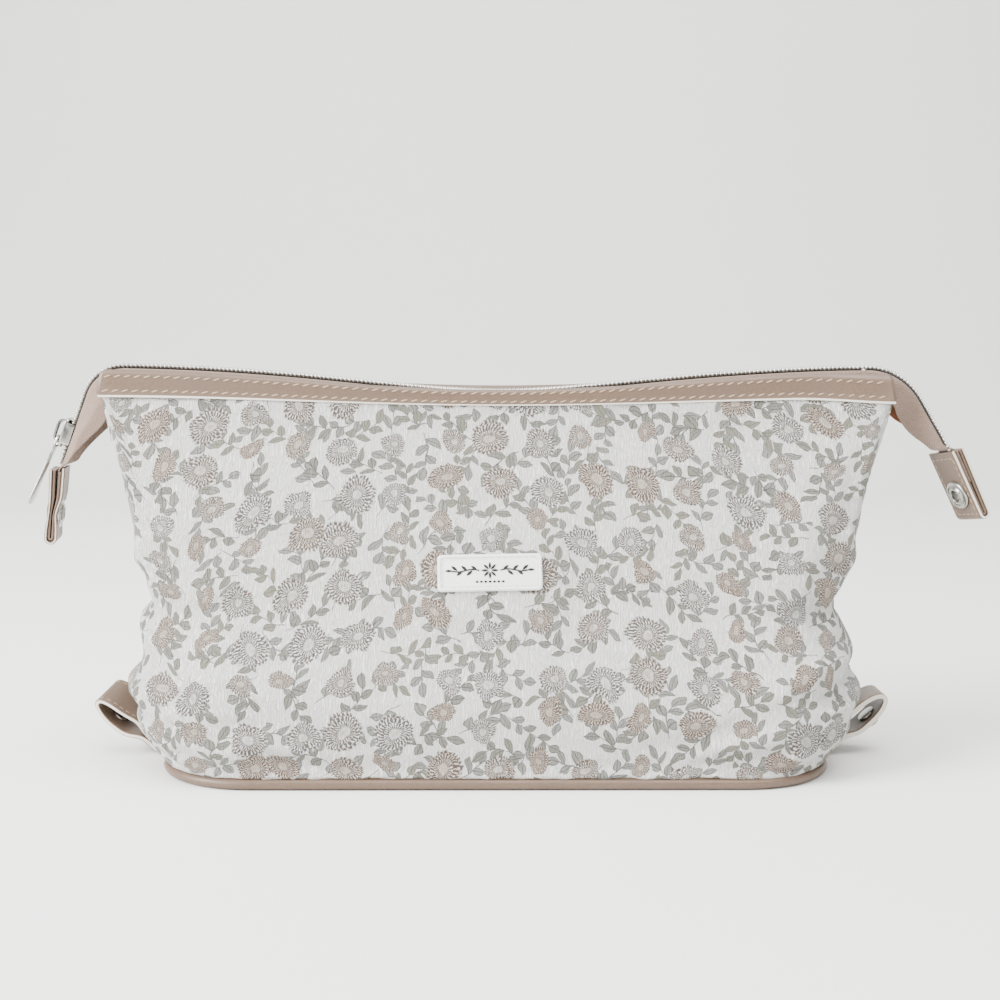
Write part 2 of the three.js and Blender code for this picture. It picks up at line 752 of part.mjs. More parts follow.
function addTab(bag, name, tail) {
  const { x, z } = tabPlace(tail);
  const group = placed(tail.side, x, z, tail.tabDeg);
  const twisted = new THREE.Group();
  twisted.rotation.x = radians(tail.twistDeg);
  group.add(twisted);
  const face = tabHalfAt(SNAP_PLACE) + CLEARANCE;
  const socketMesh = named(`${name}_tab_socket`, socket(), silverMetal);
  socketMesh.position.set(SNAP_PLACE, 0, -face);
  socketMesh.rotation.x = Math.PI;
  const capMesh = named(`${name}_tab_cap`, cap(2 * face - CLEARANCE), silverMetal);
  capMesh.position.set(SNAP_PLACE, 0, face);
  twisted.add(named(`${name}_tab`, tabLeather(), blushLeather), socketMesh, capMesh);
  bag.add(group);
}

// ---- Side loops, drawn with X out along the loop and Z up across it ----

// Half of the loop's outline, at a distance inside its outer face.
function loopOutline(outline, inset, start) {
  const half = LOOP_HALF_HEIGHT - inset;
  const round = LOOP_LENGTH - LOOP_HALF_HEIGHT;
  const flat = LOOP_SNAP_PLACE - STUD_BASE_DIAMETER / 2 - CLEARANCE;
  const root = Math.max(STRAP_THICKNESS - inset, 0);
  outline.moveTo(start, -root);
  outline.bezierCurveTo(start + LOOP_ROOT_EASE, -root, flat - LOOP_FLAT_EASE, -half, flat, -half);
  outline.lineTo(round, -half);
  outline.absarc(round, 0, half, -Math.PI / 2, Math.PI / 2);
  outline.lineTo(flat, half);
  outline.bezierCurveTo(flat - LOOP_FLAT_EASE, half, start + LOOP_ROOT_EASE, root, start, root);
  return outline;
}

function loopLeather() {
  const shape = new THREE.Shape();
  shape.moveTo(0, -STRAP_THICKNESS);
  loopOutline(shape, 0, LOOP_ROOT_LENGTH);
  shape.lineTo(0, STRAP_THICKNESS);
  const eyeStart = LOOP_ROOT_LENGTH + LOOP_EYE_START;
  shape.holes.push(loopOutline(new THREE.Path(), STRAP_THICKNESS, eyeStart));
  const hole = pin(SHANK_DIAMETER + 2 * CLEARANCE, -LOOP_HALF_HEIGHT - 1, 0, 12);
  return cut(acrossDepth(shape, STRAP_WIDTH, 6), hole.translate(LOOP_SNAP_PLACE, 0, 0));
}

// The snap's stud: a base on the leather, a neck and the round head that a socket grips.
function stud() {
  const base = STUD_BASE_DIAMETER / 2;
  const head = STUD_DIAMETER / 2;
  return turned([
    [0, 0],
    [base, 0],
    [base, STUD_BASE_HEIGHT],
    [head * 0.8, STUD_BASE_HEIGHT],
    [head * 0.8, STUD_BASE_HEIGHT + 0.5],
    [head, STUD_BASE_HEIGHT + STUD_HEIGHT * 0.6],
    [head * 0.7, STUD_BASE_HEIGHT + STUD_HEIGHT],
    [0, STUD_BASE_HEIGHT + STUD_HEIGHT],
  ]);
}

// The rivet that holds the stud from inside the loop.
function rivet() {
  const shank = STRAP_THICKNESS + CLEARANCE;
  return turned([
    [0, -shank],
    [SHANK_DIAMETER / 2, -shank],
    [SHANK_DIAMETER / 2, 0],
    [STUD_BASE_DIAMETER / 2, 0],
    [STUD_BASE_DIAMETER / 2, STUD_BASE_HEIGHT],
    [0, STUD_BASE_HEIGHT],
  ]);
}

function addLoop(bag, name, loop) {
  const x = loop.side * (BASE_LENGTH / 2 + loop.stand);
  const group = placed(loop.side, x, LOOP_ROOT_HEIGHT, -loop.riseDeg);
  const studMesh = named(`${name}_loop_stud`, stud(), silverMetal);
  studMesh.position.set(LOOP_SNAP_PLACE, 0, -LOOP_HALF_HEIGHT - CLEARANCE);
  studMesh.rotation.x = Math.PI;
  const rivetMesh = named(`${name}_loop_rivet`, rivet(), silverMetal);
  rivetMesh.position.set(LOOP_SNAP_PLACE, 0, STRAP_THICKNESS - LOOP_HALF_HEIGHT + CLEARANCE);
  group.add(named(`${name}_loop`, loopLeather(), blushLeather), studMesh, rivetMesh);
  bag.add(group);
}

// ---- Label, sewn on the front flap just above the fold ----

function addLabel(bag) {
  const shape = roundedRectangle(LABEL_LENGTH / 2, LABEL_HEIGHT / 2, LABEL_CORNER);
  const label = named('label', plate(shape, PANEL_THICKNESS / 4, LABEL_THICKNESS, 4), whiteRubber);
  const lean = Math.atan2(FOLD_DEPTH / 2 - panelTopDepth, bandBottom - FOLD_HEIGHT);
  label.rotation.x = Math.PI / 2 - lean;
  label.position.set(LABEL_CENTRE_X, -halfDepthAt(LABEL_CENTRE_Z), LABEL_CENTRE_Z);
  bag.add(label);
}

// ---- The bag ----

const bag = new THREE.Group();
bag.add(
  named('base_panel', basePanel(), blushLeather),
  named('base_board', baseBoard(), greyBoard),
  named('base_lining', baseLining(), tanLining),
  named('base_piping', basePiping(), blushLeather),
);
for (const [half, facing] of [['front', -1], ['back', 1]]) {
  bag.add(
    named(`${half}_panel`, lowerWall(facing, 0, PANEL_THICKNESS), printedFabric),
    named(`${half}_lining`, lowerWall(facing, liningInset, LINING_THICKNESS), tanLining),
    named(`${half}_upper_panel`, upperWall(facing, 0, PANEL_THICKNESS), printedFabric),
    named(`${half}_upper_lining`, upperWall(facing, liningInset, LINING_THICKNESS), tanLining),
    named(`${half}_band`, band(facing), blushLeather),
    named(`${half}_wire`, wire(facing), springSteel),
    named(`${half}_mouth_tape`, mouthTape(facing), blushTape),
    named(`${half}_mouth_chain`, mouthChain(facing), silverMetal),
  );
  for (const [end, tail] of Object.entries(TAILS)) {
    bag.add(
      named(`${end}_tail_${half}_tape`, tailTape(tail, facing), blushTape),
      named(`${end}_tail_${half}_chain`, tailChain(tail, facing), silverMetal),
    );
  }
}
addSlider(bag);
for (const [name, tail] of Object.entries(TAILS)) {
  addTab(bag, name, tail);
}
for (const [name, loop] of Object.entries(LOOPS)) {
  addLoop(bag, name, loop);
}
addLabel(bag);

export default bag;
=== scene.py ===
"""A wire-framed makeup bag: printed cloth walls, leather-look trim, a zip with drooping tails, and loops.

Shapes are worked out in millimetres, in the frame's own directions, and put into meshes in metres.
"""

import bpy
import numpy as np
from bpy.props import FloatProperty, FloatVectorProperty, IntProperty, PointerProperty
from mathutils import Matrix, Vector


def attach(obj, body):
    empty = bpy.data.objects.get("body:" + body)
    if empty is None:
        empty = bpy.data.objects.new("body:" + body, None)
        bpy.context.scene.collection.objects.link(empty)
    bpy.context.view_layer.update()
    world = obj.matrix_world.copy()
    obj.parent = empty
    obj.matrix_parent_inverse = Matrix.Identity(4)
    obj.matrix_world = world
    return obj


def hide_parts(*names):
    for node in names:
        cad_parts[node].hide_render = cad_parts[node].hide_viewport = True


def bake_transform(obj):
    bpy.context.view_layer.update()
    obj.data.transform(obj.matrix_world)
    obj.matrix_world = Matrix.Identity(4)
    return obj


bl_info = {
    "name": "Makeup Bag",
    "version": (1, 0, 0),
    "blender": (4, 5, 0),
    "location": "View3D > Sidebar > Makeup Bag",
    "description": "Builds a wire-framed makeup bag piece by piece",
    "category": "Add Mesh",
}

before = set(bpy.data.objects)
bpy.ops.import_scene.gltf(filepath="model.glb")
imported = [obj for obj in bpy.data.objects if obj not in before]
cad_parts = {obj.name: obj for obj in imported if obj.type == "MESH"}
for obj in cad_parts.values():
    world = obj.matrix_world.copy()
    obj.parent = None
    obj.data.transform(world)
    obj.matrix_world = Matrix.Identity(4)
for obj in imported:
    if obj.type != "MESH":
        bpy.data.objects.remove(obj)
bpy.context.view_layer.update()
MM = 0.001

# Sizes the frame was made with, in millimetres and degrees
BASE_LENGTH, BASE_DEPTH, BASE_CORNER = 236, 105, 34
SEAM_HEIGHT, SEAM_TUCK, PIPING = 3.9, 1.5, 3.4
BULGE_HEIGHT, BULGE_LENGTH, BULGE_DEPTH = 24, 257, 106
WAIST_HEIGHT, WAIST_LENGTH = 56, 245
FOLD_HEIGHT, FOLD_DEPTH, OPENING = 60, 74, 28
BAG_HEIGHT, MOUTH_LENGTH, BAND_HEIGHT = 140, 280, 9
FRONT_SAG, BACK_SAG, LOW_SAG = 6.8, 5.6, 3.0
BAND_INNER, BAND_OUTER, BAND_SLANT, PANEL_TOP = 4.4, 8.6, 1.6, 8.0
CHAIN_WIDTH, CHAIN_HEIGHT, CHAIN_RISE, MOUTH_ZIP = 6, 2.4, 1.5, 267
# The last two size the dark tube under the zip's coil, which is painted shadow between the teeth and the tape.
TAPE_THICKNESS, SHADOW_CORD_RADIUS, SHADOW_CORD_DROP = 0.55, 0.5, 0.6
TAIL_START, TAIL_TOP, TAIL_SEAM, TAIL_LEAD = 134, 141.48, 0.6, 2.5
TAILS = {
    "left": dict(side=-1, radius=15, turn=70, straight=27, tab=85, twist=-8),
    "right": dict(side=1, radius=22, turn=61, straight=20, tab=65, twist=-18),
}
SLIDER_PLACE, BRIDGE_LENGTH, BRIDGE_WIRE, BRIDGE_ROOM = 16, 9, 1.2, 2.2
SLIDER_TOP, PULL_BAR, PULL_TILT = 2.7, 1.2, 5
STRAP_WIDTH, TAB_LENGTH, TAB_TOP, TAB_END, TAB_GAP, SNAP_PLACE = 15, 27, 5.4, 4.6, 2.2, 16
LOOPS = {"left": dict(side=-1, rise=44, stand=6), "right": dict(side=1, rise=43, stand=5)}
LOOP_LENGTH, LOOP_POINT, LOOP_SLIM, LOOP_ROOT, LOOP_SNAP, LOOP_FLAT = 27, 11.0, 4.6, 3.5, 17.2, 13.4
STRAP_THICKNESS = 1.9
LABEL_LENGTH, LABEL_HEIGHT, LABEL_X, LABEL_Z = 36, 13, -2.5, 71
FRONT_FLAP, BACK_FLAP, BODY = "front_flap", "back_flap", "bag_body"


# ---- The bag's own curves ----


def smooth(value, low, high):
    """0 below low, 1 above high, and an even ease between them: t squared times (3 - 2t)."""
    t = np.clip((value - low) / (high - low), 0, 1)
    return t * t * (3 - 2 * t)


def mouth_bell(x):
    """The square of a cosine that is 1 in the middle of the mouth and nought at both ends."""
    return np.cos(np.pi * np.minimum(np.abs(x) / MOUTH_LENGTH, 0.5)) ** 2


def mouth_drop(x, z, facing):
    """How far the mouth sags: a bell times a depth that grows from a band's lower edge to its crown."""
    share = np.clip((z - BAG_HEIGHT + BAND_HEIGHT) / BAND_HEIGHT, -0.2, 1.2)
    crown = FRONT_SAG if facing < 0 else BACK_SAG
    return mouth_bell(x) * (LOW_SAG + (crown - LOW_SAG) * share)


def chain_drop(x):
    """How far the zip's chain sags: as the crowns do, and further in the middle between them."""
    return mouth_bell(x) * (FRONT_SAG + BACK_SAG) / 2 + 2.6 * np.exp(-((x / 46) ** 2))


def half_length(z):
    """A quarter sine out to the bulge, a cosine ease in to the waist, then a straight line to the mouth."""
    z = np.asarray(z, float)
    seam, bulge, waist = BASE_LENGTH / 2, BULGE_LENGTH / 2, WAIST_LENGTH / 2
    low = seam + (bulge - seam) * np.sin(np.pi / 2 * (z - SEAM_HEIGHT) / (BULGE_HEIGHT - SEAM_HEIGHT))
    share = (1 - np.cos(np.pi * (z - BULGE_HEIGHT) / (WAIST_HEIGHT - BULGE_HEIGHT))) / 2
    middle = bulge + (waist - bulge) * share
    band_bottom = BAG_HEIGHT - BAND_HEIGHT
    top = waist + (MOUTH_LENGTH / 2 - waist) * (z - WAIST_HEIGHT) / (band_bottom - WAIST_HEIGHT)
    return np.where(z < BULGE_HEIGHT, low, np.where(z < WAIST_HEIGHT, middle, top))


def half_depth(z):
    """A quarter sine out to the bulge, a cubic in to the fold line, then a flat slope to the bands."""
    z = np.asarray(z, float)
    seam, bulge, fold = BASE_DEPTH / 2 - SEAM_TUCK, BULGE_DEPTH / 2, FOLD_DEPTH / 2
    slope = (fold - PANEL_TOP) / (BAG_HEIGHT - BAND_HEIGHT - FOLD_HEIGHT)
    low = seam + (bulge - seam) * np.sin(np.pi / 2 * (z - SEAM_HEIGHT) / (BULGE_HEIGHT - SEAM_HEIGHT))
    run = FOLD_HEIGHT - BULGE_HEIGHT
    t = (z - BULGE_HEIGHT) / run
    middle = bulge + (fold - bulge) * t * t * (3 - 2 * t) + slope * run * t * t * (1 - t)
    top = fold - slope * (z - FOLD_HEIGHT)
    return np.where(z < BULGE_HEIGHT, low, np.where(z < FOLD_HEIGHT, middle, top))


def axes_at(side, down):
    """Directions of a piece that runs outward and down at an angle: along it, across it, and outward."""
    a = np.radians(down)
    return np.array(
        [
            [side * np.cos(a), 0, -np.sin(a)],
            [0, side, 0],
            [side * np.sin(a), 0, np.cos(a)],
        ]
    )


def tail_lengths(tail):
    """The length of a tail's arc, and of the whole tail."""
    arc = tail["radius"] * np.radians(tail["turn"])
    return arc, arc + tail["straight"]


def tail_line(tail, along):
    """Places and turns along a tail: an arc, a straight run, then its tab's own direction."""
    arc, length = tail_lengths(tail)
    step = 0.05
    s = np.arange(-20, length + 40, step)
    turn = np.radians(tail["turn"]) * np.clip(s / arc, 0, 1)
    turn = turn + np.radians(tail["tab"] - tail["turn"]) * smooth(s, length - 1, length + TAB_GAP + 1)
    x, z = np.cumsum(np.cos(turn)) * step, -np.cumsum(np.sin(turn)) * step
    start = np.argmin(np.abs(s))
    x, z = x - x[start] + TAIL_START, z - z[start] + TAIL_TOP
    return (
        tail["side"] * np.interp(along, s, x),
        np.interp(along, s, z),
        np.interp(along, s, turn),
    )


# ---- Shapes: (points, faces, uv), with faces as a list of equal-sided arrays ----


def weave_faces(rows, columns, close_rows=False, close_columns=False):
    """The four-sided faces between neighbouring points of a grid."""
    i = np.arange(rows if close_rows else rows - 1)
    j = np.arange(columns if close_columns else columns - 1)
    i, j = np.meshgrid(i, j, indexing="ij")
    below, after = (i + 1) % rows, (j + 1) % columns
    corners = [i * columns + j, below * columns + j, below * columns + after, i * columns + after]
    return np.stack(corners, -1).reshape(-1, 4)


def volume(points, faces):
    """Six times the volume inside the faces: each is fanned into triangles and their boxes summed."""
    total = 0.0
    for f in faces:
        for k in range(1, f.shape[1] - 1):
            a, b, c = points[f[:, 0]], points[f[:, k]], points[f[:, k + 1]]
            total += float((a * np.cross(b, c)).sum())
    return total


def outward(points, faces, uv=None):
    """A closed shape with its faces turned to point outwards."""
    if volume(points - points.mean(0), faces) < 0:
        faces = [f[:, ::-1] for f in faces]
    return points, faces, np.zeros((len(points), 2)) if uv is None else uv


def open_shape(grid, uv=None):
    """A sheet through a grid of points."""
    rows, columns = grid.shape[:2]
    uv = np.zeros((rows * columns, 2)) if uv is None else uv.reshape(-1, 2)
    return grid.reshape(-1, 3), [weave_faces(rows, columns)], uv


def flipped(shape):
    """A shape with its faces turned over."""
    points, faces, uv = shape
    return points, [f[:, ::-1] for f in faces], uv


def solid(rings, endless=False, uv=None):
    """A closed body through rings of points, with a flat face over each end unless it is endless."""
    rows, columns = rings.shape[:2]
    faces = [weave_faces(rows, columns, endless, True)]
    if not endless:
        first = np.arange(columns)[None, ::-1]
        faces.append(np.concatenate([first, first[:, ::-1] + (rows - 1) * columns]))
        quads = faces[0]
        faces[0] = quads[:, ::-1] if endless else quads[:, [0, 3, 2, 1]]
    uv = None if uv is None else uv.reshape(-1, 2)
    return outward(rings.reshape(-1, 3), faces, uv)


def together(*shapes):
    """Several shapes as one."""
    points, faces, uvs, count = [], {}, [], 0
    for p, groups, uv in shapes:
        points.append(p)
        uvs.append(uv)
        for f in groups:
            faces.setdefault(f.shape[1], []).append(f + count)
        count += len(p)
    return np.concatenate(points), [np.concatenate(f) for f in faces.values()], np.concatenate(uvs)


def moved(shape, axes=None, to=(0, 0, 0)):
    """A shape in other directions (the rows of axes) and at another place."""
    points, faces, uv = shape
    axes = np.eye(3) if axes is None else np.asarray(axes)
    if np.linalg.det(axes) < 0:
        faces = [f[:, ::-1] for f in faces]
    return points @ axes + np.asarray(to, float), faces, uv


def stamped(shape, places, axes):
    """A shape repeated at many places, each with its own three directions."""
    points, faces, _ = shape
    many, size = len(places), len(points)
    laid = np.einsum("pk,nkc->npc", points, axes) + places[:, None]
    shift = (np.arange(many) * size)[:, None, None]
    repeated = [(f[None] + shift).reshape(-1, f.shape[1]) for f in faces]
    return laid.reshape(-1, 3), repeated, np.zeros((many * size, 2))


def turned(profile, segments=40):
    """A profile of (radius, height) points carried round the Z axis, flat over both ends."""
    profile = np.asarray(profile, float)
    angle = np.linspace(0, 2 * np.pi, segments, endpoint=False)
    r, z = profile[:, :1], np.repeat(profile[:, 1:], segments, 1)
    return solid(np.stack([r * np.cos(angle), r * np.sin(angle), z], -1))


def rounded_rectangle(half_x, half_y, radius, corner=8):
    """Four quarter circles at a rectangle's corners, joined by straight lines."""
    angle = np.linspace(0, np.pi / 2, corner)
    found = []
    for turn, sx, sy in ((0, 1, 1), (1, -1, 1), (2, -1, -1), (3, 1, -1)):
        a = angle + turn * np.pi / 2
        x = sx * (half_x - radius) + radius * np.cos(a)
        found.append(np.stack([x, sy * (half_y - radius) + radius * np.sin(a)], -1))
    return np.concatenate(found)


def unit(vectors):
    """Each vector at a length of one."""
    return vectors / np.linalg.norm(vectors, axis=1, keepdims=True)


def run_along(line):
    """The distance along a line to each of its points."""
    return np.concatenate([[0], np.cumsum(np.linalg.norm(np.diff(line, axis=0), axis=1))])


def resampled(line, step, closed=False):
    """Points at even steps along a line, which is taken as straight between its own points."""
    line = np.concatenate([line, line[:1]]) if closed else line
    s = run_along(line)
    count = max(int(round(s[-1] / step)), 2)
    at = np.linspace(0, s[-1], count + 1)[: count if closed else None]
    return np.stack([np.interp(at, s, line[:, k]) for k in range(line.shape[1])], -1)


def two_arcs(along, half):
    """The outline of a leaf: out along one side of its middle line and back along the other."""
    return np.concatenate([np.stack([along, -half], -1), np.stack([along, half], -1)[-2:0:-1]])


def outline_normals(outline):
    """Unit directions square to a closed flat outline, outward where it runs anticlockwise."""
    along = unit(np.roll(outline, -1, 0) - np.roll(outline, 1, 0))
    return np.stack([along[:, 1], -along[:, 0]], -1)


def slab(outline, bottom, top, edge, steps=3):
    """A flat outline raised from bottom to top, with its upper and lower edges rounded by quarter circles."""
    normal = outline_normals(outline)
    a = np.linspace(0, np.pi / 2, steps + 1)
    inset = edge * np.concatenate([1 - np.sin(a), 1 - np.sin(a[::-1])])
    height = np.concatenate([bottom + edge * (1 - np.cos(a)), top - edge * (1 - np.cos(a[::-1]))])
    flat = outline[None] - inset[:, None, None] * normal[None]
    z = np.repeat(height[:, None, None], len(outline), 1)
    return solid(np.concatenate([flat, z], -1))


def tube(line, radius, sides=10, up=(0, 1, 0), endless=False, flatten=1.0):
    """Circles carried along a line, each square to it; up is a direction the line never takes."""
    line = np.asarray(line, float)
    if endless:
        along = np.roll(line, -1, 0) - np.roll(line, 1, 0)
    else:
        along = np.gradient(line, axis=0)
    along = unit(along)
    across = np.cross(along, np.asarray(up, float))
    across = unit(across)
    over = np.cross(along, across)
    a = np.linspace(0, 2 * np.pi, sides, endpoint=False)
    radius = np.broadcast_to(np.asarray(radius, float), len(line))[:, None, None]
    ring = across[:, None] * np.cos(a)[None, :, None] + over[:, None] * np.sin(a)[None, :, None] * flatten
    return solid(line[:, None] + radius * ring, endless)


def strip(line, thickness, width, edge=0.3):
    """A strap: a rounded rectangle, width across Y and thickness square to it, along a line in X and Z."""
    along = unit(np.gradient(line, axis=0))
    out = np.stack([-along[:, 1], along[:, 0]], -1)
    section = rounded_rectangle(width / 2, thickness / 2, min(edge, thickness * 0.45), 4)
    inner = np.linspace(-width / 2 + edge, width / 2 - edge, 9)[1:-1]
    top = np.stack([inner[::-1], np.full(7, thickness / 2)], -1)
    low = np.stack([inner, np.full(7, -thickness / 2)], -1)
    section = np.concatenate([section[:4], top, section[4:12], low, section[12:]])
    x = line[:, 0, None] + out[:, 0, None] * section[None, :, 1]
    z = line[:, 1, None] + out[:, 1, None] * section[None, :, 1]
    y = np.repeat(section[None, :, 0], len(line), 0)
    rings = np.stack([x, y, z], -1)
    s = run_along(line)
    uv = np.stack([np.repeat(s[:, None], len(section), 1), y], -1)
    return solid(rings, uv=uv * MM)


def bead(length, width, height, around=8, along=5):
    """A rounded bar along Y: the rings' size is the square root of 1 less a fourth power, for blunt ends."""
    t = np.linspace(-1, 1, along)
    t = np.sign(t) * np.abs(t) ** 0.7 * 0.98
    size = (1 - t**4) ** 0.5
    a = np.linspace(0, 2 * np.pi, around, endpoint=False)
    x = width / 2 * size[:, None] * np.cos(a)
    z = height / 2 * size[:, None] * np.sin(a)
    y = np.repeat((t * length / 2)[:, None], around, 1)
    return solid(np.stack([x, y, z], -1))


def stitches(places, along, out, length=2.5, thread=0.52, slant=0.28, sink=0.1):
    """Short thread stitches at places on a surface. Each lies along the seam, a little aslant, half sunk."""
    across = np.cross(out, along)
    lean = along * np.cos(slant) + across * np.sin(slant)
    side = np.cross(lean, out)
    axes = np.stack([side, lean, out], 1)
    return stamped(bead(length, thread, thread * 0.9, 6, 5), places - out * sink, axes)


# ---- Materials ----


class Nodes:
    """Adds nodes to a tree and joins their sockets."""

    def __init__(self, tree):
        self.tree = tree

    def add(self, kind, inputs=None, **settings):
        """A node with its settings, its inputs each linked or set."""
        node = self.tree.nodes.new("ShaderNode" + kind)
        for name, value in settings.items():
            setattr(node, name, value)
        for name, value in (inputs or {}).items():
            if isinstance(value, bpy.types.NodeSocket):
                self.tree.links.new(value, node.inputs[name])
            elif value is not None:
                node.inputs[name].default_value = value
        return node

    def math(self, operation, *values):
        return self.add("Math", dict(enumerate(values)), operation=operation).outputs[0]

    def vector(self, operation, *values):
        node = self.add("VectorMath", dict(enumerate(values)), operation=operation)
        return node.outputs["Value" if operation in ("LENGTH", "DOT_PRODUCT") else "Vector"]

    def ramp(self, value, low, high, start=0.0, end=1.0):
        """value carried from low..high to start..end with smooth ends."""
        inputs = {"Value": value, "From Min": low, "From Max": high, "To Min": start, "To Max": end}
        return self.add("MapRange", inputs, interpolation_type="SMOOTHSTEP").outputs["Result"]

    def mix(self, share, a, b):
        """Colour a where share is 0 and b where it is 1."""
        node = self.add("Mix", data_type="RGBA")
        for socket, value in ((node.inputs[0], share), (node.inputs[6], a), (node.inputs[7], b)):
            if isinstance(value, bpy.types.NodeSocket):
                self.tree.links.new(value, socket)
            else:
                socket.default_value = value if np.isscalar(value) else (*value[:3], 1)
        return node.outputs[2]

    def noise(self, vector, scale, detail=2.0, roughness=0.5, dimensions="3D"):
        inputs = {"Vector": vector, "Scale": scale, "Detail": detail, "Roughness": roughness}
        return self.add("TexNoise", inputs, noise_dimensions=dimensions)

    def bump(self, height, strength, distance, normal=None):
        inputs = {"Height": height, "Strength": strength, "Distance": distance, "Normal": normal}
        return self.add("Bump", inputs).outputs[0]


def node_group(name, inputs, outputs, build):
    """A shader node group with named sockets, made once. build turns its inputs into its outputs."""
    found = bpy.data.node_groups.get(name)
    if found:
        return found
    tree = bpy.data.node_groups.new(name, "ShaderNodeTree")
    for label, kind, default in inputs:
        socket = tree.interface.new_socket(name=label, in_out="INPUT", socket_type="NodeSocket" + kind)
        if default is not None:
            socket.default_value = default
    for label, kind in outputs:
        tree.interface.new_socket(name=label, in_out="OUTPUT", socket_type="NodeSocket" + kind)
    nodes = Nodes(tree)
    source, sink = tree.nodes.new("NodeGroupInput"), tree.nodes.new("NodeGroupOutput")
    for label, value in build(nodes, source.outputs).items():
        tree.links.new(value, sink.inputs[label])
    return tree


def use_group(nodes, tree, **values):
    """A node group placed in a material, with its inputs named in lower case and joined by underscores."""
    node = nodes.tree.nodes.new("ShaderNodeGroup")
    node.node_tree = tree
    for socket in node.inputs:
        value = values.get(socket.name.lower().replace(" ", "_"))
        if isinstance(value, bpy.types.NodeSocket):
            nodes.tree.links.new(value, socket)
        elif value is not None:
            socket.default_value = value
    return node.outputs


def grain_group():
    """Leather grain: rounded pebbles with fine lines over them, and slow patches of lighter and darker."""

    def build(n, given):
        cells = n.add("TexVoronoi", {"Vector": given["Vector"], "Scale": given["Scale"]}, feature="SMOOTH_F1")
        fine = n.noise(given["Vector"], n.math("MULTIPLY", given["Scale"], 2.6), 3.0).outputs[0]
        patches = n.noise(given["Vector"], n.math("MULTIPLY", given["Scale"], 0.03), 3.0).outputs[0]
        pebbles = n.math("MULTIPLY", cells.outputs["Distance"], -0.7)
        height = n.math("ADD", pebbles, n.math("MULTIPLY", fine, 0.3))
        return {"Height": height, "Patches": n.ramp(patches, 0.3, 0.7)}

    return node_group(
        "Leather Grain",
        [("Vector", "Vector", None), ("Scale", "Float", 1600.0)],
        [("Height", "Float"), ("Patches", "Float")],
        build,
    )


def weave_group():
    """Plain weave: two sets of threads, each a wave across its own direction, that pass over in turn."""

    def build(n, given):
        at = n.add("SeparateXYZ", {0: given["Vector"]})
        wave = []
        for axis, other in ((0, 1), (1, 0)):
            across = n.math("MULTIPLY", at.outputs[axis], given["Threads"])
            run = n.math("MULTIPLY", at.outputs[other], given["Threads"])
            crown = n.math("ABSOLUTE", n.math("SINE", n.math("MULTIPLY", across, np.pi)))
            over = n.math("SINE", n.math("MULTIPLY", n.math("ADD", run, n.math("FLOOR", across)), np.pi))
            wave.append(n.math("MULTIPLY", crown, n.ramp(over, -0.6, 0.6, 0.35, 1.0)))
        height = n.math("MAXIMUM", *wave)
        uneven = n.noise(given["Vector"], n.math("MULTIPLY", given["Threads"], 0.35), 2.0).outputs[0]
        # Shade: half random unevenness of the yarn, half painted shade that darkens the threads where they dip.
        shade = n.math("MULTIPLY_ADD", uneven, 0.5, n.math("MULTIPLY", height, 0.5))
        return {"Height": height, "Shade": shade}

    return node_group(
        "Plain Weave",
        [("Vector", "Vector", None), ("Threads", "Float", 2200.0)],
        [("Height", "Float"), ("Shade", "Float")],
        build,
    )


def wear_group():
    """Wear on edges: where the surface turns sharply, broken up by noise."""

    def build(n, given):
        point = n.add("NewGeometry").outputs["Pointiness"]
        broken = n.noise(given["Vector"], given["Scale"], 4.0).outputs[0]
        edge = n.ramp(n.math("MULTIPLY_ADD", broken, 0.06, point), 0.54, 0.62)
        return {"Worn": n.math("MULTIPLY", edge, given["Amount"])}

    return node_group(
        "Edge Wear",
        [("Vector", "Vector", None), ("Scale", "Float", 300.0), ("Amount", "Float", 0.5)],
        [("Worn", "Float")],
        build,
    )


def scattered(n, given, randomness):
    """Where a point lies from its cell's middle, turned at random, and the cell's random numbers."""
    cell = given["Cell"]
    cells = n.add("CombineXYZ", {0: cell, 1: cell, 2: 1.0}).outputs[0]
    scaled = n.vector("ADD", n.vector("DIVIDE", given["Vector"], cells), given["Shift"])
    inputs = {"Vector": scaled, "Scale": 1.0, "Randomness": randomness}
    found = n.add("TexVoronoi", inputs, voronoi_dimensions="2D", feature="F1")
    chance = n.add("SeparateColor", {0: found.outputs["Color"]})
    local = n.vector("SUBTRACT", scaled, found.outputs["Position"])
    local = n.vector("MULTIPLY", local, n.add("CombineXYZ", {0: cell, 1: cell, 2: 0.0}).outputs[0])
    turn = n.math("MULTIPLY", chance.outputs[0], 6.283)
    local = n.add("VectorRotate", {"Vector": local, "Angle": turn}, rotation_type="Z_AXIS").outputs[0]
    return n.add("SeparateXYZ", {0: local}), chance


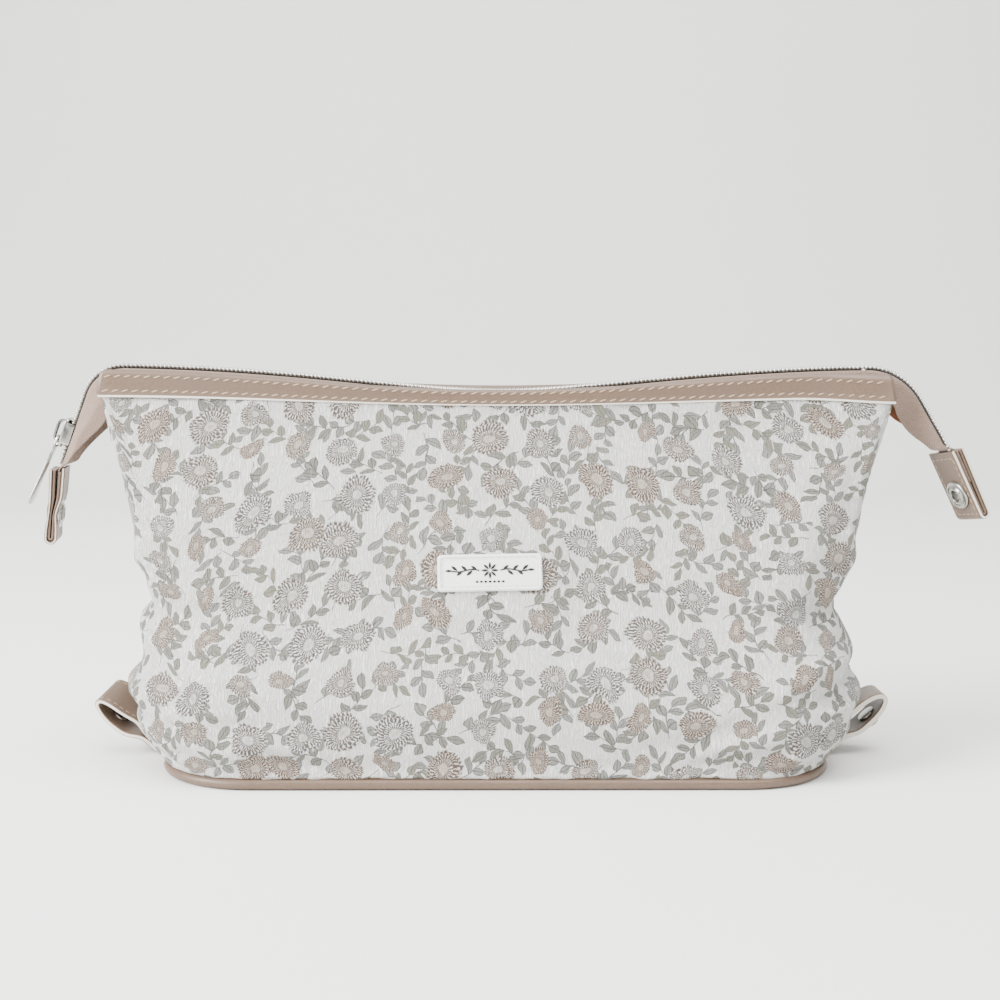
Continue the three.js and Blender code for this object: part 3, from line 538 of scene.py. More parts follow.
def blossom_group():
    """A blossom in each cell of a loose grid: rings of thin stitched petals round a pale heart."""

    def build(n, given):
        size = given["Radius"]
        part, chance = scattered(n, given, 0.5)
        oval = n.ramp(chance.outputs[1], 0.45, 1.0, 1.0, 1.5)
        x, y = part.outputs[0], n.math("MULTIPLY", part.outputs[1], oval)
        far = n.math("SQRT", n.math("ADD", n.math("MULTIPLY", x, x), n.math("MULTIPLY", y, y)))
        angle = n.math("DIVIDE", n.math("ARCTAN2", y, x), 6.2832)
        reach = n.math("MULTIPLY", size, n.ramp(chance.outputs[2], 0.0, 1.0, 0.66, 1.08))
        share = n.math("DIVIDE", far, reach)
        rings = n.math("MULTIPLY", share, 3.6)
        ring = n.math("FLOOR", rings)
        petal = n.math("MULTIPLY_ADD", ring, 0.5, n.math("MULTIPLY", angle, 27.0))
        ragged = n.noise(given["Vector"], 1.6, 2.0, dimensions="2D").outputs[0]
        petal = n.math("MULTIPLY_ADD", ragged, 0.7, petal)
        away = n.math("ABSOLUTE", n.math("SUBTRACT", n.math("FRACT", petal), 0.5))
        narrow = n.math("MULTIPLY_ADD", n.math("FRACT", rings), -0.16, 0.41)
        thread = n.ramp(n.math("SUBTRACT", narrow, away), -0.06, 0.07)
        frayed = n.math("MULTIPLY_ADD", ragged, 0.45, share)
        inside = n.ramp(frayed, 1.26, 1.18)
        heart = n.ramp(share, 0.22, 0.34)
        faded = n.math("MULTIPLY_ADD", heart, 0.6, 0.4)
        thread = n.math("MULTIPLY", n.math("MULTIPLY", thread, inside), faded)
        tone = n.noise(given["Vector"], 0.55, 2.0, dimensions="2D").outputs[0]
        tone = n.math("MULTIPLY_ADD", chance.outputs[1], 0.5, n.math("MULTIPLY", tone, 0.8))
        tone = n.ramp(tone, 0.35, 0.85)
        return {"Inside": inside, "Thread": thread, "Tone": tone}

    return node_group(
        "Blossom",
        [
            ("Vector", "Vector", None),
            ("Cell", "Float", 17.5),
            ("Radius", "Float", 6.2),
            ("Shift", "Vector", None),
        ],
        [("Inside", "Float"), ("Thread", "Float"), ("Tone", "Float")],
        build,
    )


def leaf_group():
    """One leaf along X from nought to its length: two parabolas that meet in points, a vein and threads."""

    def build(n, given):
        part = n.add("SeparateXYZ", {0: given["Vector"]})
        t = n.math("DIVIDE", part.outputs[0], given["Length"])
        arch = n.math("MULTIPLY", n.math("MULTIPLY", t, n.math("SUBTRACT", 1.0, t)), 4.0)
        within = n.math("MULTIPLY", n.math("GREATER_THAN", t, 0.0), n.math("LESS_THAN", t, 1.0))
        half = n.math("MAXIMUM", n.math("MULTIPLY", arch, given["Width"]), 0.001)
        off = n.math("ABSOLUTE", part.outputs[1])
        share = n.math("DIVIDE", off, half)
        fill = n.math("MULTIPLY", n.ramp(share, 1.04, 0.94), within)
        rim = n.math("MULTIPLY", n.ramp(share, 0.7, 0.88), fill)
        vein = n.math("MULTIPLY", n.ramp(off, 0.17, 0.06), fill)
        rows = n.math("MULTIPLY_ADD", off, -1.1, part.outputs[0])
        off_row = n.math("ABSOLUTE", n.math("SUBTRACT", n.math("FRACT", n.math("MULTIPLY", rows, 1.9)), 0.5))
        threads = n.math("MULTIPLY", n.math("MULTIPLY", n.ramp(off_row, 0.2, 0.34), fill), 0.45)
        return {"Fill": fill, "Line": n.math("MAXIMUM", n.math("MAXIMUM", rim, vein), threads)}

    return node_group(
        "Leaf",
        [("Vector", "Vector", None), ("Length", "Float", 5.0), ("Width", "Float", 1.3)],
        [("Fill", "Float"), ("Line", "Float")],
        build,
    )


def sprig_group():
    """A bent stem with five leaves in each cell of a loose grid, each sprig turned its own way."""

    def build(n, given):
        part, chance = scattered(n, given, 0.45)
        bend = n.math("MULTIPLY", n.ramp(chance.outputs[1], 0.0, 1.0, -0.05, 0.05), part.outputs[0])
        y = n.math("MULTIPLY_ADD", bend, part.outputs[0], part.outputs[1])
        local = n.add("CombineXYZ", {0: part.outputs[0], 1: y, 2: 0.0}).outputs[0]
        run = n.math("MULTIPLY", n.ramp(part.outputs[0], -10.5, -9.5), n.ramp(part.outputs[0], 3.6, 3.2))
        fill = 0.0
        line = n.math("MULTIPLY", n.ramp(n.math("ABSOLUTE", y), 0.24, 0.08), run)
        for place, angle, length, width in (
            (-6.6, 0.85, 5.2, 1.4),
            (-4.8, -0.8, 5.6, 1.5),
            (-1.2, 0.75, 5.0, 1.35),
            (0.8, -0.85, 4.8, 1.35),
            (3.2, 0.1, 5.4, 1.45),
        ):
            inputs = {"Vector": local, "Location": (place, 0.0, 0.0), "Rotation": (0.0, 0.0, angle)}
            turned_to = n.add("Mapping", inputs, vector_type="TEXTURE").outputs[0]
            leaf = use_group(n, leaf_group(), vector=turned_to, length=length, width=width)
            fill = n.math("MAXIMUM", fill, leaf["Fill"])
            line = n.math("MAXIMUM", line, leaf["Line"])
        return {"Fill": fill, "Line": line, "Tone": chance.outputs[2]}

    return node_group(
        "Sprig",
        [("Vector", "Vector", None), ("Cell", "Float", 13.0), ("Shift", "Vector", None)],
        [("Fill", "Float"), ("Line", "Float"), ("Tone", "Float")],
        build,
    )


def new_material(name, roughness=0.6, **constant):
    """A material with a Principled BSDF, whose constants are set on its own sockets, and its nodes."""
    material = bpy.data.materials.new(name)
    material.use_nodes = True
    nodes = Nodes(material.node_tree)
    shader = material.node_tree.nodes["Principled BSDF"]
    shader.inputs["Roughness"].default_value = roughness
    for label, value in constant.items():
        shader.inputs[label.replace("_", " ").title().replace("Ior", "IOR")].default_value = value
    return material, nodes, shader


def join(nodes, shader, **sockets):
    """Links values to a shader's sockets, which are named in lower case and joined by underscores."""
    for label, value in sockets.items():
        nodes.tree.links.new(value, shader.inputs[label.replace("_", " ").title()])


def linear(colour):
    """A colour picked on the screen's scale, as the shader's own."""
    c = np.asarray(colour[:3], float)
    return tuple(np.where(c <= 0.04045, c / 12.92, ((c + 0.055) / 1.055) ** 2.4))


def tinted(colour, factor):
    """A colour times a factor, kept between 0 and 1."""
    return tuple(np.clip(np.asarray(colour[:3]) * factor, 0, 1))


def printed_cloth(colours):
    """Off-white crinkled jacquard with stitched blossoms over sprigs of leaves."""
    material, n, shader = new_material("printed_cloth", 0.85, sheen_weight=0.15, sheen_roughness=0.5)
    uv = n.add("UVMap", uv_map="cloth").outputs[0]
    at = n.vector("MULTIPLY", uv, (1000.0, 1000.0, 0.0))
    warp = n.noise(at, 0.09, 2.0, dimensions="2D").outputs["Color"]
    warp = n.vector("MULTIPLY", n.vector("SUBTRACT", warp, (0.5, 0.5, 0.5)), (5.0, 5.0, 0.0))
    grown = n.vector("ADD", at, warp)
    fuzz = n.noise(at, 2.4, 2.0, dimensions="2D").outputs["Color"]
    fuzz = n.vector("MULTIPLY", n.vector("SUBTRACT", fuzz, (0.5, 0.5, 0.5)), (0.35, 0.35, 0.0))
    grown = n.vector("ADD", grown, fuzz)
    blossom = use_group(n, blossom_group(), vector=grown, cell=17.0, radius=6.3, shift=(3.3, 7.1, 0.0))
    near = use_group(n, sprig_group(), vector=grown, cell=16.4, shift=(11.2, 5.4, 0.0))
    far = use_group(n, sprig_group(), vector=grown, cell=15.6, shift=(27.7, 31.9, 0.0))
    clear = n.math("SUBTRACT", 1.0, blossom["Inside"])
    first = n.math("MULTIPLY", near["Fill"], clear)
    first_line = n.math("MULTIPLY", near["Line"], clear)
    behind = n.math("MULTIPLY", clear, n.math("SUBTRACT", 1.0, near["Fill"]))
    second = n.math("MULTIPLY", far["Fill"], behind)
    second_line = n.math("MULTIPLY", far["Line"], behind)
    part = n.add("SeparateXYZ", {0: at})
    streak = n.add(
        "CombineXYZ",
        {0: n.math("MULTIPLY", part.outputs[0], 1.1), 1: n.math("MULTIPLY", part.outputs[1], 0.16), 2: 0.0},
    ).outputs[0]
    crinkle = n.noise(streak, 1.0, 3.0, 0.6, "2D").outputs[0]
    ridge = n.math("ABSOLUTE", n.math("SUBTRACT", crinkle, 0.5))
    groove = n.ramp(ridge, 0.06, 0.0)
    weave = use_group(n, weave_group(), vector=uv, threads=2600.0)
    # Painted shade: the crinkles' grooves are darkened towards the cloth groove colour.
    ground = n.mix(n.math("MULTIPLY", groove, 0.7), linear(colours.cloth), linear(colours.cloth_groove))
    # Painted shade: the weave's low places darken the ground, together with random unevenness of the yarn.
    ground = n.mix(n.math("MULTIPLY", weave["Shade"], 0.22), tinted(linear(colours.cloth), 0.86), ground)
    leaf = n.mix(near["Tone"], linear(colours.leaf), linear(colours.leaf_green))
    leaf_line = n.mix(near["Tone"], linear(colours.leaf_line), tinted(linear(colours.leaf_green), 0.72))
    shade = n.mix(n.math("MULTIPLY", second, 0.75), ground, linear(colours.leaf))
    shade = n.mix(n.math("MULTIPLY", second_line, 0.8), shade, linear(colours.leaf_line))
    shade = n.mix(n.math("MULTIPLY", first, 0.85), shade, leaf)
    shade = n.mix(n.math("MULTIPLY", first_line, 0.9), shade, leaf_line)
    petal = n.mix(blossom["Tone"], linear(colours.petal_grey), linear(colours.petal_rose))
    under = n.mix(blossom["Tone"], linear(colours.cloth), linear(colours.petal_under))
    shade = n.mix(n.math("MULTIPLY", blossom["Inside"], 0.8), shade, under)
    shade = n.mix(n.math("MULTIPLY", blossom["Thread"], 0.92), shade, petal)
    thread = n.math("ADD", n.math("MAXIMUM", first_line, second_line), blossom["Thread"])
    height = n.math("MULTIPLY_ADD", thread, 0.5, n.math("MULTIPLY", n.math("ADD", first, second), 0.25))
    height = n.math("ADD", height, n.math("MULTIPLY", n.ramp(ridge, 0.0, 0.16), 1.3))
    height = n.math("MULTIPLY_ADD", weave["Height"], 0.16, height)
    slow = n.noise(at, 0.12, 2.0, dimensions="2D").outputs[0]
    normal = n.bump(slow, 0.35, 0.003)
    join(n, shader, base_color=shade, normal=n.bump(height, 0.85, 0.0007, normal))
    join(n, shader, roughness=n.ramp(thread, 0.0, 1.0, 0.88, 0.66))
    return material


def soft_leather(name, colour, grain=1500.0, relief=0.00006, worn=0.35):
    """Leather-look sheet: fine grain, slow patches, and paler worn edges."""
    material, n, shader = new_material(name, 0.5, specular_ior_level=0.45)
    at = n.add("TexCoord").outputs["Object"]
    grain = use_group(n, grain_group(), vector=at, scale=grain)
    wear = use_group(n, wear_group(), vector=at, scale=500.0, amount=worn)
    base = linear(colour)
    shade = n.mix(grain["Patches"], tinted(base, 0.9), tinted(base, 1.06))
    # Painted shade: the low places between the grain's pebbles are darkened.
    shade = n.mix(n.ramp(grain["Height"], -0.4, 0.1), tinted(base, 0.84), shade)
    shade = n.mix(wear["Worn"], shade, tinted(base, 1.45))
    join(n, shader, base_color=shade, normal=n.bump(grain["Height"], 0.5, relief))
    join(n, shader, roughness=n.ramp(grain["Patches"], 0.0, 1.0, 0.5, 0.36))
    return material


def raw_edge(colours):
    """The cut edge of the leather-look sheet: pale fibres in thin layers."""
    material, n, shader = new_material("raw_edge", 0.85)
    at = n.add("TexCoord").outputs["Object"]
    fibre = n.noise(n.vector("MULTIPLY", at, (1.0, 3.0, 1.0)), 1800.0, 3.0).outputs[0]
    base = linear(colours.edge)
    shade = n.mix(fibre, tinted(base, 0.78), tinted(base, 1.06))
    join(n, shader, base_color=shade, normal=n.bump(fibre, 0.5, 0.00012))
    return material


def zip_tape(colours):
    """Zip tape: ribs of thick thread along it, crossed by fine ones, with a pebbly nap."""
    material, n, shader = new_material("zip_tape", 0.85, sheen_weight=0.2, sheen_roughness=0.4)
    uv = n.add("UVMap", uv_map="cloth").outputs[0]
    weave = use_group(n, weave_group(), vector=uv, threads=1500.0)
    nap = n.noise(n.vector("MULTIPLY", uv, (1000.0, 1000.0, 0.0)), 1.7, 3.0, 0.6).outputs[0]
    base = linear(colours.tape)
    # Painted shade: the weave's low places are darker, together with random unevenness of the yarn.
    shade = n.mix(weave["Shade"], tinted(base, 0.8), tinted(base, 1.08))
    shade = n.mix(n.ramp(nap, 0.5, 0.72, 0.0, 0.5), shade, tinted(base, 1.35))
    height = n.math("MULTIPLY_ADD", nap, 0.8, weave["Height"])
    join(n, shader, base_color=shade, normal=n.bump(height, 0.7, 0.00022))
    return material


def lining_cloth(colours):
    """Plain woven lining with slubs."""
    material, n, shader = new_material("lining_cloth", 0.8, sheen_weight=0.1)
    uv = n.add("UVMap", uv_map="cloth").outputs[0]
    weave = use_group(n, weave_group(), vector=uv, threads=1900.0)
    slub = n.noise(n.vector("MULTIPLY", uv, (60.0, 900.0, 0.0)), 1.0, 3.0).outputs[0]
    base = linear(colours.lining)
    # Painted shade: the weave's low places are darker, together with random unevenness of the yarn.
    shade = n.mix(weave["Shade"], tinted(base, 0.7), tinted(base, 1.12))
    shade = n.mix(n.ramp(slub, 0.55, 0.75, 0.0, 0.35), shade, tinted(base, 1.4))
    join(n, shader, base_color=shade, normal=n.bump(weave["Height"], 0.6, 0.00014))
    return material


def bright_metal(name, colour, roughness=0.22, relief=0.00002):
    """Plated metal: faint scratches and a slightly dull bloom in patches."""
    material, n, shader = new_material(name, roughness, metallic=1.0)
    at = n.add("TexCoord").outputs["Object"]
    scratch = n.noise(n.vector("MULTIPLY", at, (1.0, 7.0, 1.0)), 900.0, 4.0, 0.7).outputs[0]
    bloom = n.noise(at, 260.0, 3.0).outputs[0]
    wear = use_group(n, wear_group(), vector=at, scale=700.0, amount=0.5)
    base = linear(colour)
    shade = n.mix(n.ramp(bloom, 0.35, 0.7), tinted(base, 0.72), tinted(base, 1.05))
    shade = n.mix(wear["Worn"], shade, tinted(base, 1.25))
    join(n, shader, base_color=shade, normal=n.bump(scratch, 0.25, relief))
    join(n, shader, roughness=n.ramp(bloom, 0.3, 0.75, roughness * 0.75, roughness * 1.7))
    return material


def white_rubber(colours):
    """Moulded soft rubber: a satin skin with faint flow marks, a little darker in patches."""
    material, n, shader = new_material("white_rubber", 0.5, specular_ior_level=0.4)
    at = n.add("TexCoord").outputs["Object"]
    skin = n.noise(at, 2600.0, 3.0).outputs[0]
    flow = n.noise(at, 90.0, 2.0).outputs[0]
    base = linear(colours.rubber)
    join(n, shader, base_color=n.mix(n.ramp(flow, 0.3, 0.7), tinted(base, 0.94), base))
    join(n, shader, normal=n.bump(skin, 0.3, 0.00004), roughness=n.ramp(flow, 0.3, 0.7, 0.45, 0.6))
    return material


def twisted_thread(name, colour):
    """Thread: slanting plies with a little fuzz."""
    material, n, shader = new_material(name, 0.75, sheen_weight=0.2)
    at = n.add("TexCoord").outputs["Object"]
    part = n.add("SeparateXYZ", {0: at})
    slant = n.math("MULTIPLY_ADD", part.outputs[2], 6000.0, n.math("MULTIPLY", part.outputs[0], 9000.0))
    ply = n.ramp(n.math("SINE", slant), -0.6, 0.8)
    fuzz = n.noise(at, 3000.0, 2.0).outputs[0]
    base = linear(colour)
    # Painted shade: the grooves between the plies are darker.
    shade = n.mix(n.math("MULTIPLY", ply, fuzz), tinted(base, 0.82), tinted(base, 1.04))
    join(n, shader, base_color=shade, normal=n.bump(ply, 0.5, 0.00006))
    return material


def flecked(name, colour, roughness=0.8, scale=700.0):
    """A plain dull finish with flecks, for the board and the wires inside."""
    material, n, shader = new_material(name, roughness)
    at = n.add("TexCoord").outputs["Object"]
    fleck = n.noise(at, scale, 4.0, 0.7).outputs[0]
    base = linear(colour)
    shade = n.mix(n.ramp(fleck, 0.35, 0.7), tinted(base, 0.75), tinted(base, 1.12))
    join(n, shader, base_color=shade, normal=n.bump(fleck, 0.4, 0.0001))
    return material


def pale_floor(colours):
    """A pale matt floor with the faintest mottling."""
    material, n, shader = new_material("pale_floor", 0.7, specular_ior_level=0.2)
    at = n.add("TexCoord").outputs["Object"]
    mottle = n.noise(at, 3.0, 3.0).outputs[0]
    base = linear(colours.floor)
    join(n, shader, base_color=n.mix(mottle, tinted(base, 0.985), base))
    return material


MATERIALS = {}


def finish_of(name):
    """A named finish, made the first time that it is asked for."""
    if name not in MATERIALS:
        c = bpy.context.scene.bag_colours
        makers = {
            "cloth": lambda: printed_cloth(c),
            "leather": lambda: soft_leather("blush_leather", c.leather),
            "piping": lambda: soft_leather("blush_piping", c.piping, 1200.0),
            "edge": lambda: raw_edge(c),
            "tape": lambda: zip_tape(c),
            "lining": lambda: lining_cloth(c),
            "zip_metal": lambda: bright_metal("zip_metal", c.metal, 0.2),
            "coil": lambda: bright_metal("coil_metal", c.coil, 0.3),
            "snap_metal": lambda: bright_metal("snap_metal", c.metal, 0.24),
            "steel": lambda: flecked("spring_steel", (0.5, 0.51, 0.52), 0.4),
            # gap: dark grey for the tube under the zip's coil, painted shadow between the teeth and the tape.
            "gap": lambda: flecked("coil_gap", (0.3, 0.3, 0.29), 0.6, 2000.0),
            "board": lambda: flecked("grey_board", (0.52, 0.49, 0.45)),
            "rubber": lambda: white_rubber(c),
            "ink": lambda: flecked("dark_rubber", (0.06, 0.06, 0.06), 0.55, 2500.0),
            "thread": lambda: twisted_thread("cream_thread", c.thread),
            "white_thread": lambda: twisted_thread("white_thread", (0.9, 0.89, 0.87)),
        }
        MATERIALS[name] = makers[name]()
    return MATERIALS[name]


# ---- Pieces ----


def piece(name, shape, finish, slot, rides=None, stands_for=(), sharp=42, bend=None, modifiers=(), extra=()):
    """A mesh object from a shape with its finish, which rides on a body, or on none when bend is given.

    extra holds (finish, shape) pairs that belong to the same piece and have a finish of their own."""
    shapes = [(finish, shape), *extra]
    points, faces, uv = together(*(s for _, s in shapes))
    mesh = bpy.data.meshes.new(name)
    mesh.vertices.add(len(points))
    mesh.vertices.foreach_set("co", (points * MM).astype(np.float32).ravel())
    corners = np.concatenate([f.ravel() for f in faces])
    counts = np.concatenate([np.full(len(f), f.shape[1]) for f in faces])
    mesh.loops.add(len(corners))
    mesh.loops.foreach_set("vertex_index", corners.astype(np.int32))
    mesh.polygons.add(len(counts))
    starts = np.concatenate([[0], np.cumsum(counts)[:-1]])
    mesh.polygons.foreach_set("loop_start", starts.astype(np.int32))
    mesh.polygons.foreach_set("use_smooth", np.ones(len(counts), bool))
    mesh.update(calc_edges=True)
    layer = mesh.uv_layers.new(name="cloth")
    layer.data.foreach_set("uv", uv[corners].astype(np.float32).ravel())
    for label, _ in shapes:
        mesh.materials.append(finish_of(label))
    if extra:
        owner = np.concatenate([np.full(len(s[0]), k) for k, (_, s) in enumerate(shapes)])
        mesh.polygons.foreach_set("material_index", owner[corners[starts]].astype(np.int32))
    mesh.validate()
    if sharp:
        mesh.set_sharp_from_angle(angle=np.radians(sharp))
    made = bpy.data.objects.new(name, mesh)
    bpy.context.scene.collection.objects.link(made)
    for kind, settings in modifiers:
        modifier = made.modifiers.new(kind.title(), kind)
        for label, value in settings.items():
            setattr(modifier, label, value)
    if stands_for:
        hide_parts(*stands_for)
    if bend:
        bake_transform(made)
    else:
        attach(made, rides)
    return made


def flared(points):
    """The right end of the front band opens outward and a little down, as its cloth corner does below it."""
    x, y, z = points[..., 0], points[..., 1], points[..., 2]
    t = smooth(x, 106, 143) * smooth(z, 96, 133) * (y < -0.05)
    return points + np.stack([0 * t, -3.4 * t, -1.6 * t * smooth(-y, 3, 9)], -1)


# ---- Walls ----

SIDE_STEPS, CORNER_STEPS, FRONT_STEPS, WALL_ROWS = 8, 12, 60, 62
SETTLING_FRAMES, FOLD_STRENGTH = 26, 2.1


def wall_grid(inset, top):
    """Half of the bag's wall, from the left side seam round the front to the right one, as rows of points.

    At each height the outline is a straight side, a quarter circle and a straight front, in mirror image.
    The rows rise evenly from the base seam to the band, which sags with the mouth."""
    side = np.linspace(0, 1, SIDE_STEPS, endpoint=False)
    corner = np.linspace(0, np.pi / 2, CORNER_STEPS, endpoint=False)
    front = np.linspace(0, 1, FRONT_STEPS // 2 + 1)
    rest = CORNER_STEPS + len(front)
    along_side = np.concatenate([side, np.ones(rest)])
    angle = np.concatenate([np.zeros(SIDE_STEPS), corner, np.full(len(front), np.pi / 2)])
    along_front = np.concatenate([np.zeros(SIDE_STEPS + CORNER_STEPS), front])
    hand = -np.ones(len(angle))
    along_side, angle, along_front = (
        np.concatenate([v, v[-2::-1]]) for v in (along_side, angle, along_front)
    )
    hand = np.concatenate([hand, -hand[:-1]])
    edge = 0.2

    def outline(z):
        length, depth = half_length(z) - inset, half_depth(z) - inset
        squared = 4.2 * smooth(z, 96, 126)
        radius = np.minimum(BASE_CORNER - inset, 0.85 * (depth - edge - squared))
        f, a, g = (v[:, None] for v in (along_side, angle, along_front))
        x = hand[:, None] * (length - radius * (1 - np.cos(a)) - g * (length - radius))
        y = edge + (depth - radius - edge) * f + radius * np.sin(a)
        return x, y

    at_fold = outline(np.full((len(angle), 1), float(FOLD_HEIGHT)))[0]
    reach = top - LOW_SAG * mouth_bell(at_fold)
    z = SEAM_HEIGHT + (reach - SEAM_HEIGHT) * np.linspace(0, 1, WALL_ROWS)
    x, y = outline(z)
    leg = np.interp(z, [WAIST_HEIGHT, 135], [4.2, 6.5])
    swell = 1.5 * smooth(z, 48, 62) * np.exp(-(((y - leg) / 5) ** 2))
    x = x + hand[:, None] * swell
    return np.stack([x, -y, z], -1)


def cloth_map(grid, shift):
    """The cloth laid flat: distances from the middle along each row, and up each column, in metres."""
    across = np.linalg.norm(np.diff(grid, axis=0), axis=2)
    across = np.concatenate([np.zeros((1, grid.shape[1])), np.cumsum(across, 0)])
    across -= across[len(across) // 2]
    up = np.linalg.norm(np.diff(grid, axis=1), axis=2)
    up = np.concatenate([np.zeros((len(grid), 1)), np.cumsum(up, 1)], 1)
    return np.stack([across + shift, up], -1) * MM


def settled(ring, slack, seed):
    """How far each point of a ring of cloth moves when it is let go between its seams.

    The cloth is a little larger than its frame, is pressed out from inside and falls under its weight."""
    columns, rows = ring.shape[:2]
    chance = np.random.default_rng(seed)
    rough = ring + chance.normal(0, 0.25, ring.shape)
    mesh = bpy.data.meshes.new("trial_cloth")
    mesh.from_pydata((rough.reshape(-1, 3) * MM).tolist(), [], weave_faces(columns, rows, True).tolist())
    trial = bpy.data.objects.new("trial_cloth", mesh)
    scene = bpy.context.scene
    scene.collection.objects.link(trial)
    held = np.zeros((columns, rows))
    held[:, [0, -1]] = 1
    held[(np.abs(ring[..., 1]) < 9) & (ring[..., 2] > FOLD_HEIGHT)] = 1
    group = trial.vertex_groups.new(name="held")
    group.add(np.flatnonzero(held.ravel()).tolist(), 1.0, "REPLACE")
    cloth = trial.modifiers.new("Cloth", "CLOTH")
    s = cloth.settings
    s.quality, s.mass, s.air_damping = 6, 0.08, 3.0
    s.tension_stiffness, s.compression_stiffness, s.shear_stiffness = 12.0, 8.0, 4.0
    s.bending_stiffness = 0.35
    s.vertex_group_mass = "held"
    s.shrink_min = -slack
    s.use_pressure, s.uniform_pressure_force = True, 0.35
    cloth.collision_settings.use_collision = False
    cloth.point_cache.frame_start, cloth.point_cache.frame_end = 1, SETTLING_FRAMES
    for step in range(1, SETTLING_FRAMES + 1):
        scene.frame_set(step)
    bpy.context.view_layer.update()
    shown = trial.evaluated_get(bpy.context.evaluated_depsgraph_get())
    found = np.zeros(columns * rows * 3, np.float32)
    shown.data.vertices.foreach_get("co", found)
    bpy.data.objects.remove(trial)
    scene.frame_set(1)
    return found.reshape(columns, rows, 3) / MM - ring


def folds(grid):
    """Sculpted folds where the cloth is gathered at the foot of each wire leg and at the low corners.

    Each fold is a ridge, a bell across its line that dies away along it, pushed out from the bag."""
    move = np.zeros_like(grid)
    x, depth, z = grid[..., 0], -grid[..., 1], grid[..., 2]
    length = half_length(z)
    from_side = length - np.abs(x) + 0.25 * np.maximum(depth, 0)
    outward_x = np.sign(x) * np.clip(1 - depth / 45, 0.15, 1)
    outward_y = -np.clip(depth / 45, 0.1, 1)
    # Each fold: its side, its height at the side, its rise per millimetre inward, its width, reach and height
    for hand, start, slope, width, reach, height in (
        (-1, 58, 0.04, 4.2, 40, -3.0),
        (-1, 51, -0.30, 4.0, 58, 2.3),
        (-1, 43, -0.36, 3.0, 60, -2.2),
        (-1, 36, -0.30, 3.6, 60, 2.3),
        (-1, 28, -0.24, 2.8, 60, -2.6),
        (-1, 18, -0.04, 3.8, 66, 2.0),
        (-1, 74, 0.42, 4.6, 52, 1.5),
        (-1, 66, 0.30, 3.2, 44, -1.3),
        (1, 57, 0.02, 4.4, 40, -2.6),
        (1, 48, -0.34, 4.0, 60, 2.2),
        (1, 40, -0.28, 3.0, 62, -2.1),
        (1, 32, -0.30, 3.4, 60, 2.2),
        (1, 24, -0.20, 3.0, 60, -2.2),
        (1, 14, -0.02, 3.4, 60, 1.5),
        (1, 72, 0.40, 4.6, 50, 1.4),
        (1, 64, 0.26, 3.2, 42, -1.2),
    ):
        wander = 1.6 * np.sin(from_side / 8.5 + start) + 0.8 * np.sin(from_side / 3.7 + 2 * start)
        line = start + slope * from_side + wander
        bell = np.exp(-(((z - line) / width) ** 2))
        uneven = 0.75 + 0.35 * np.sin(from_side / 11 + 3 * start)
        dies = np.exp(-((from_side / reach) ** 2)) * smooth(z, 4.5, 12) * smooth(depth, -0.1, 3)
        push = FOLD_STRENGTH * height * bell * dies * uneven * (np.sign(x) == hand)
        move[..., 0] += push * outward_x
        move[..., 1] += push * outward_y
    return move


def wall_moves(outer, shape):
    """How both walls leave their plain form: the settled cloth's capped move, and the sculpted folds."""
    back = outer[::-1] * np.array([1, -1, 1])
    move = {"front": np.zeros_like(outer), "back": np.zeros_like(outer)}
    ring = np.concatenate([outer, back[1:-1]])
    ring[0, :, 1] = ring[len(outer) - 1, :, 1] = 0
    found = settled(ring, shape.slack, shape.seed)
    found[[0, len(outer) - 1], :, 1] = 0
    far = np.linalg.norm(found, axis=2, keepdims=True) + 1e-9
    cap = shape.most_move / MM
    found = found * cap * np.tanh(far / cap) / far
    move["front"] = found[: len(outer)]
    rear = np.concatenate([found[len(outer) - 1 :], found[:1]])
    move["back"] = rear[::-1] * np.array([1, -1, 1])
    x, z = outer[..., 0], outer[..., 2]
    beside = np.maximum(np.abs(x - LABEL_X) - LABEL_LENGTH / 2, 0)
    above = np.maximum(np.abs(z - LABEL_Z) - 8, 0)
    away = smooth(np.hypot(beside, above), 2, 16)
    move["front"] = move["front"] * away[..., None]
    creases = folds(outer)
    return {half: m + creases for half, m in move.items()}


def fold_zone(facing):
    """The start and end of the short band of cloth that turns with a mouth flap, in metres."""
    slope = np.radians(OPENING / 2)
    middle = np.array([0, facing * FOLD_DEPTH / 2, FOLD_HEIGHT - 1.0])
    lean = 6 * np.array([0, -facing * np.sin(slope), np.cos(slope)])
    return tuple((middle - lean) * MM), tuple((middle + lean) * MM)


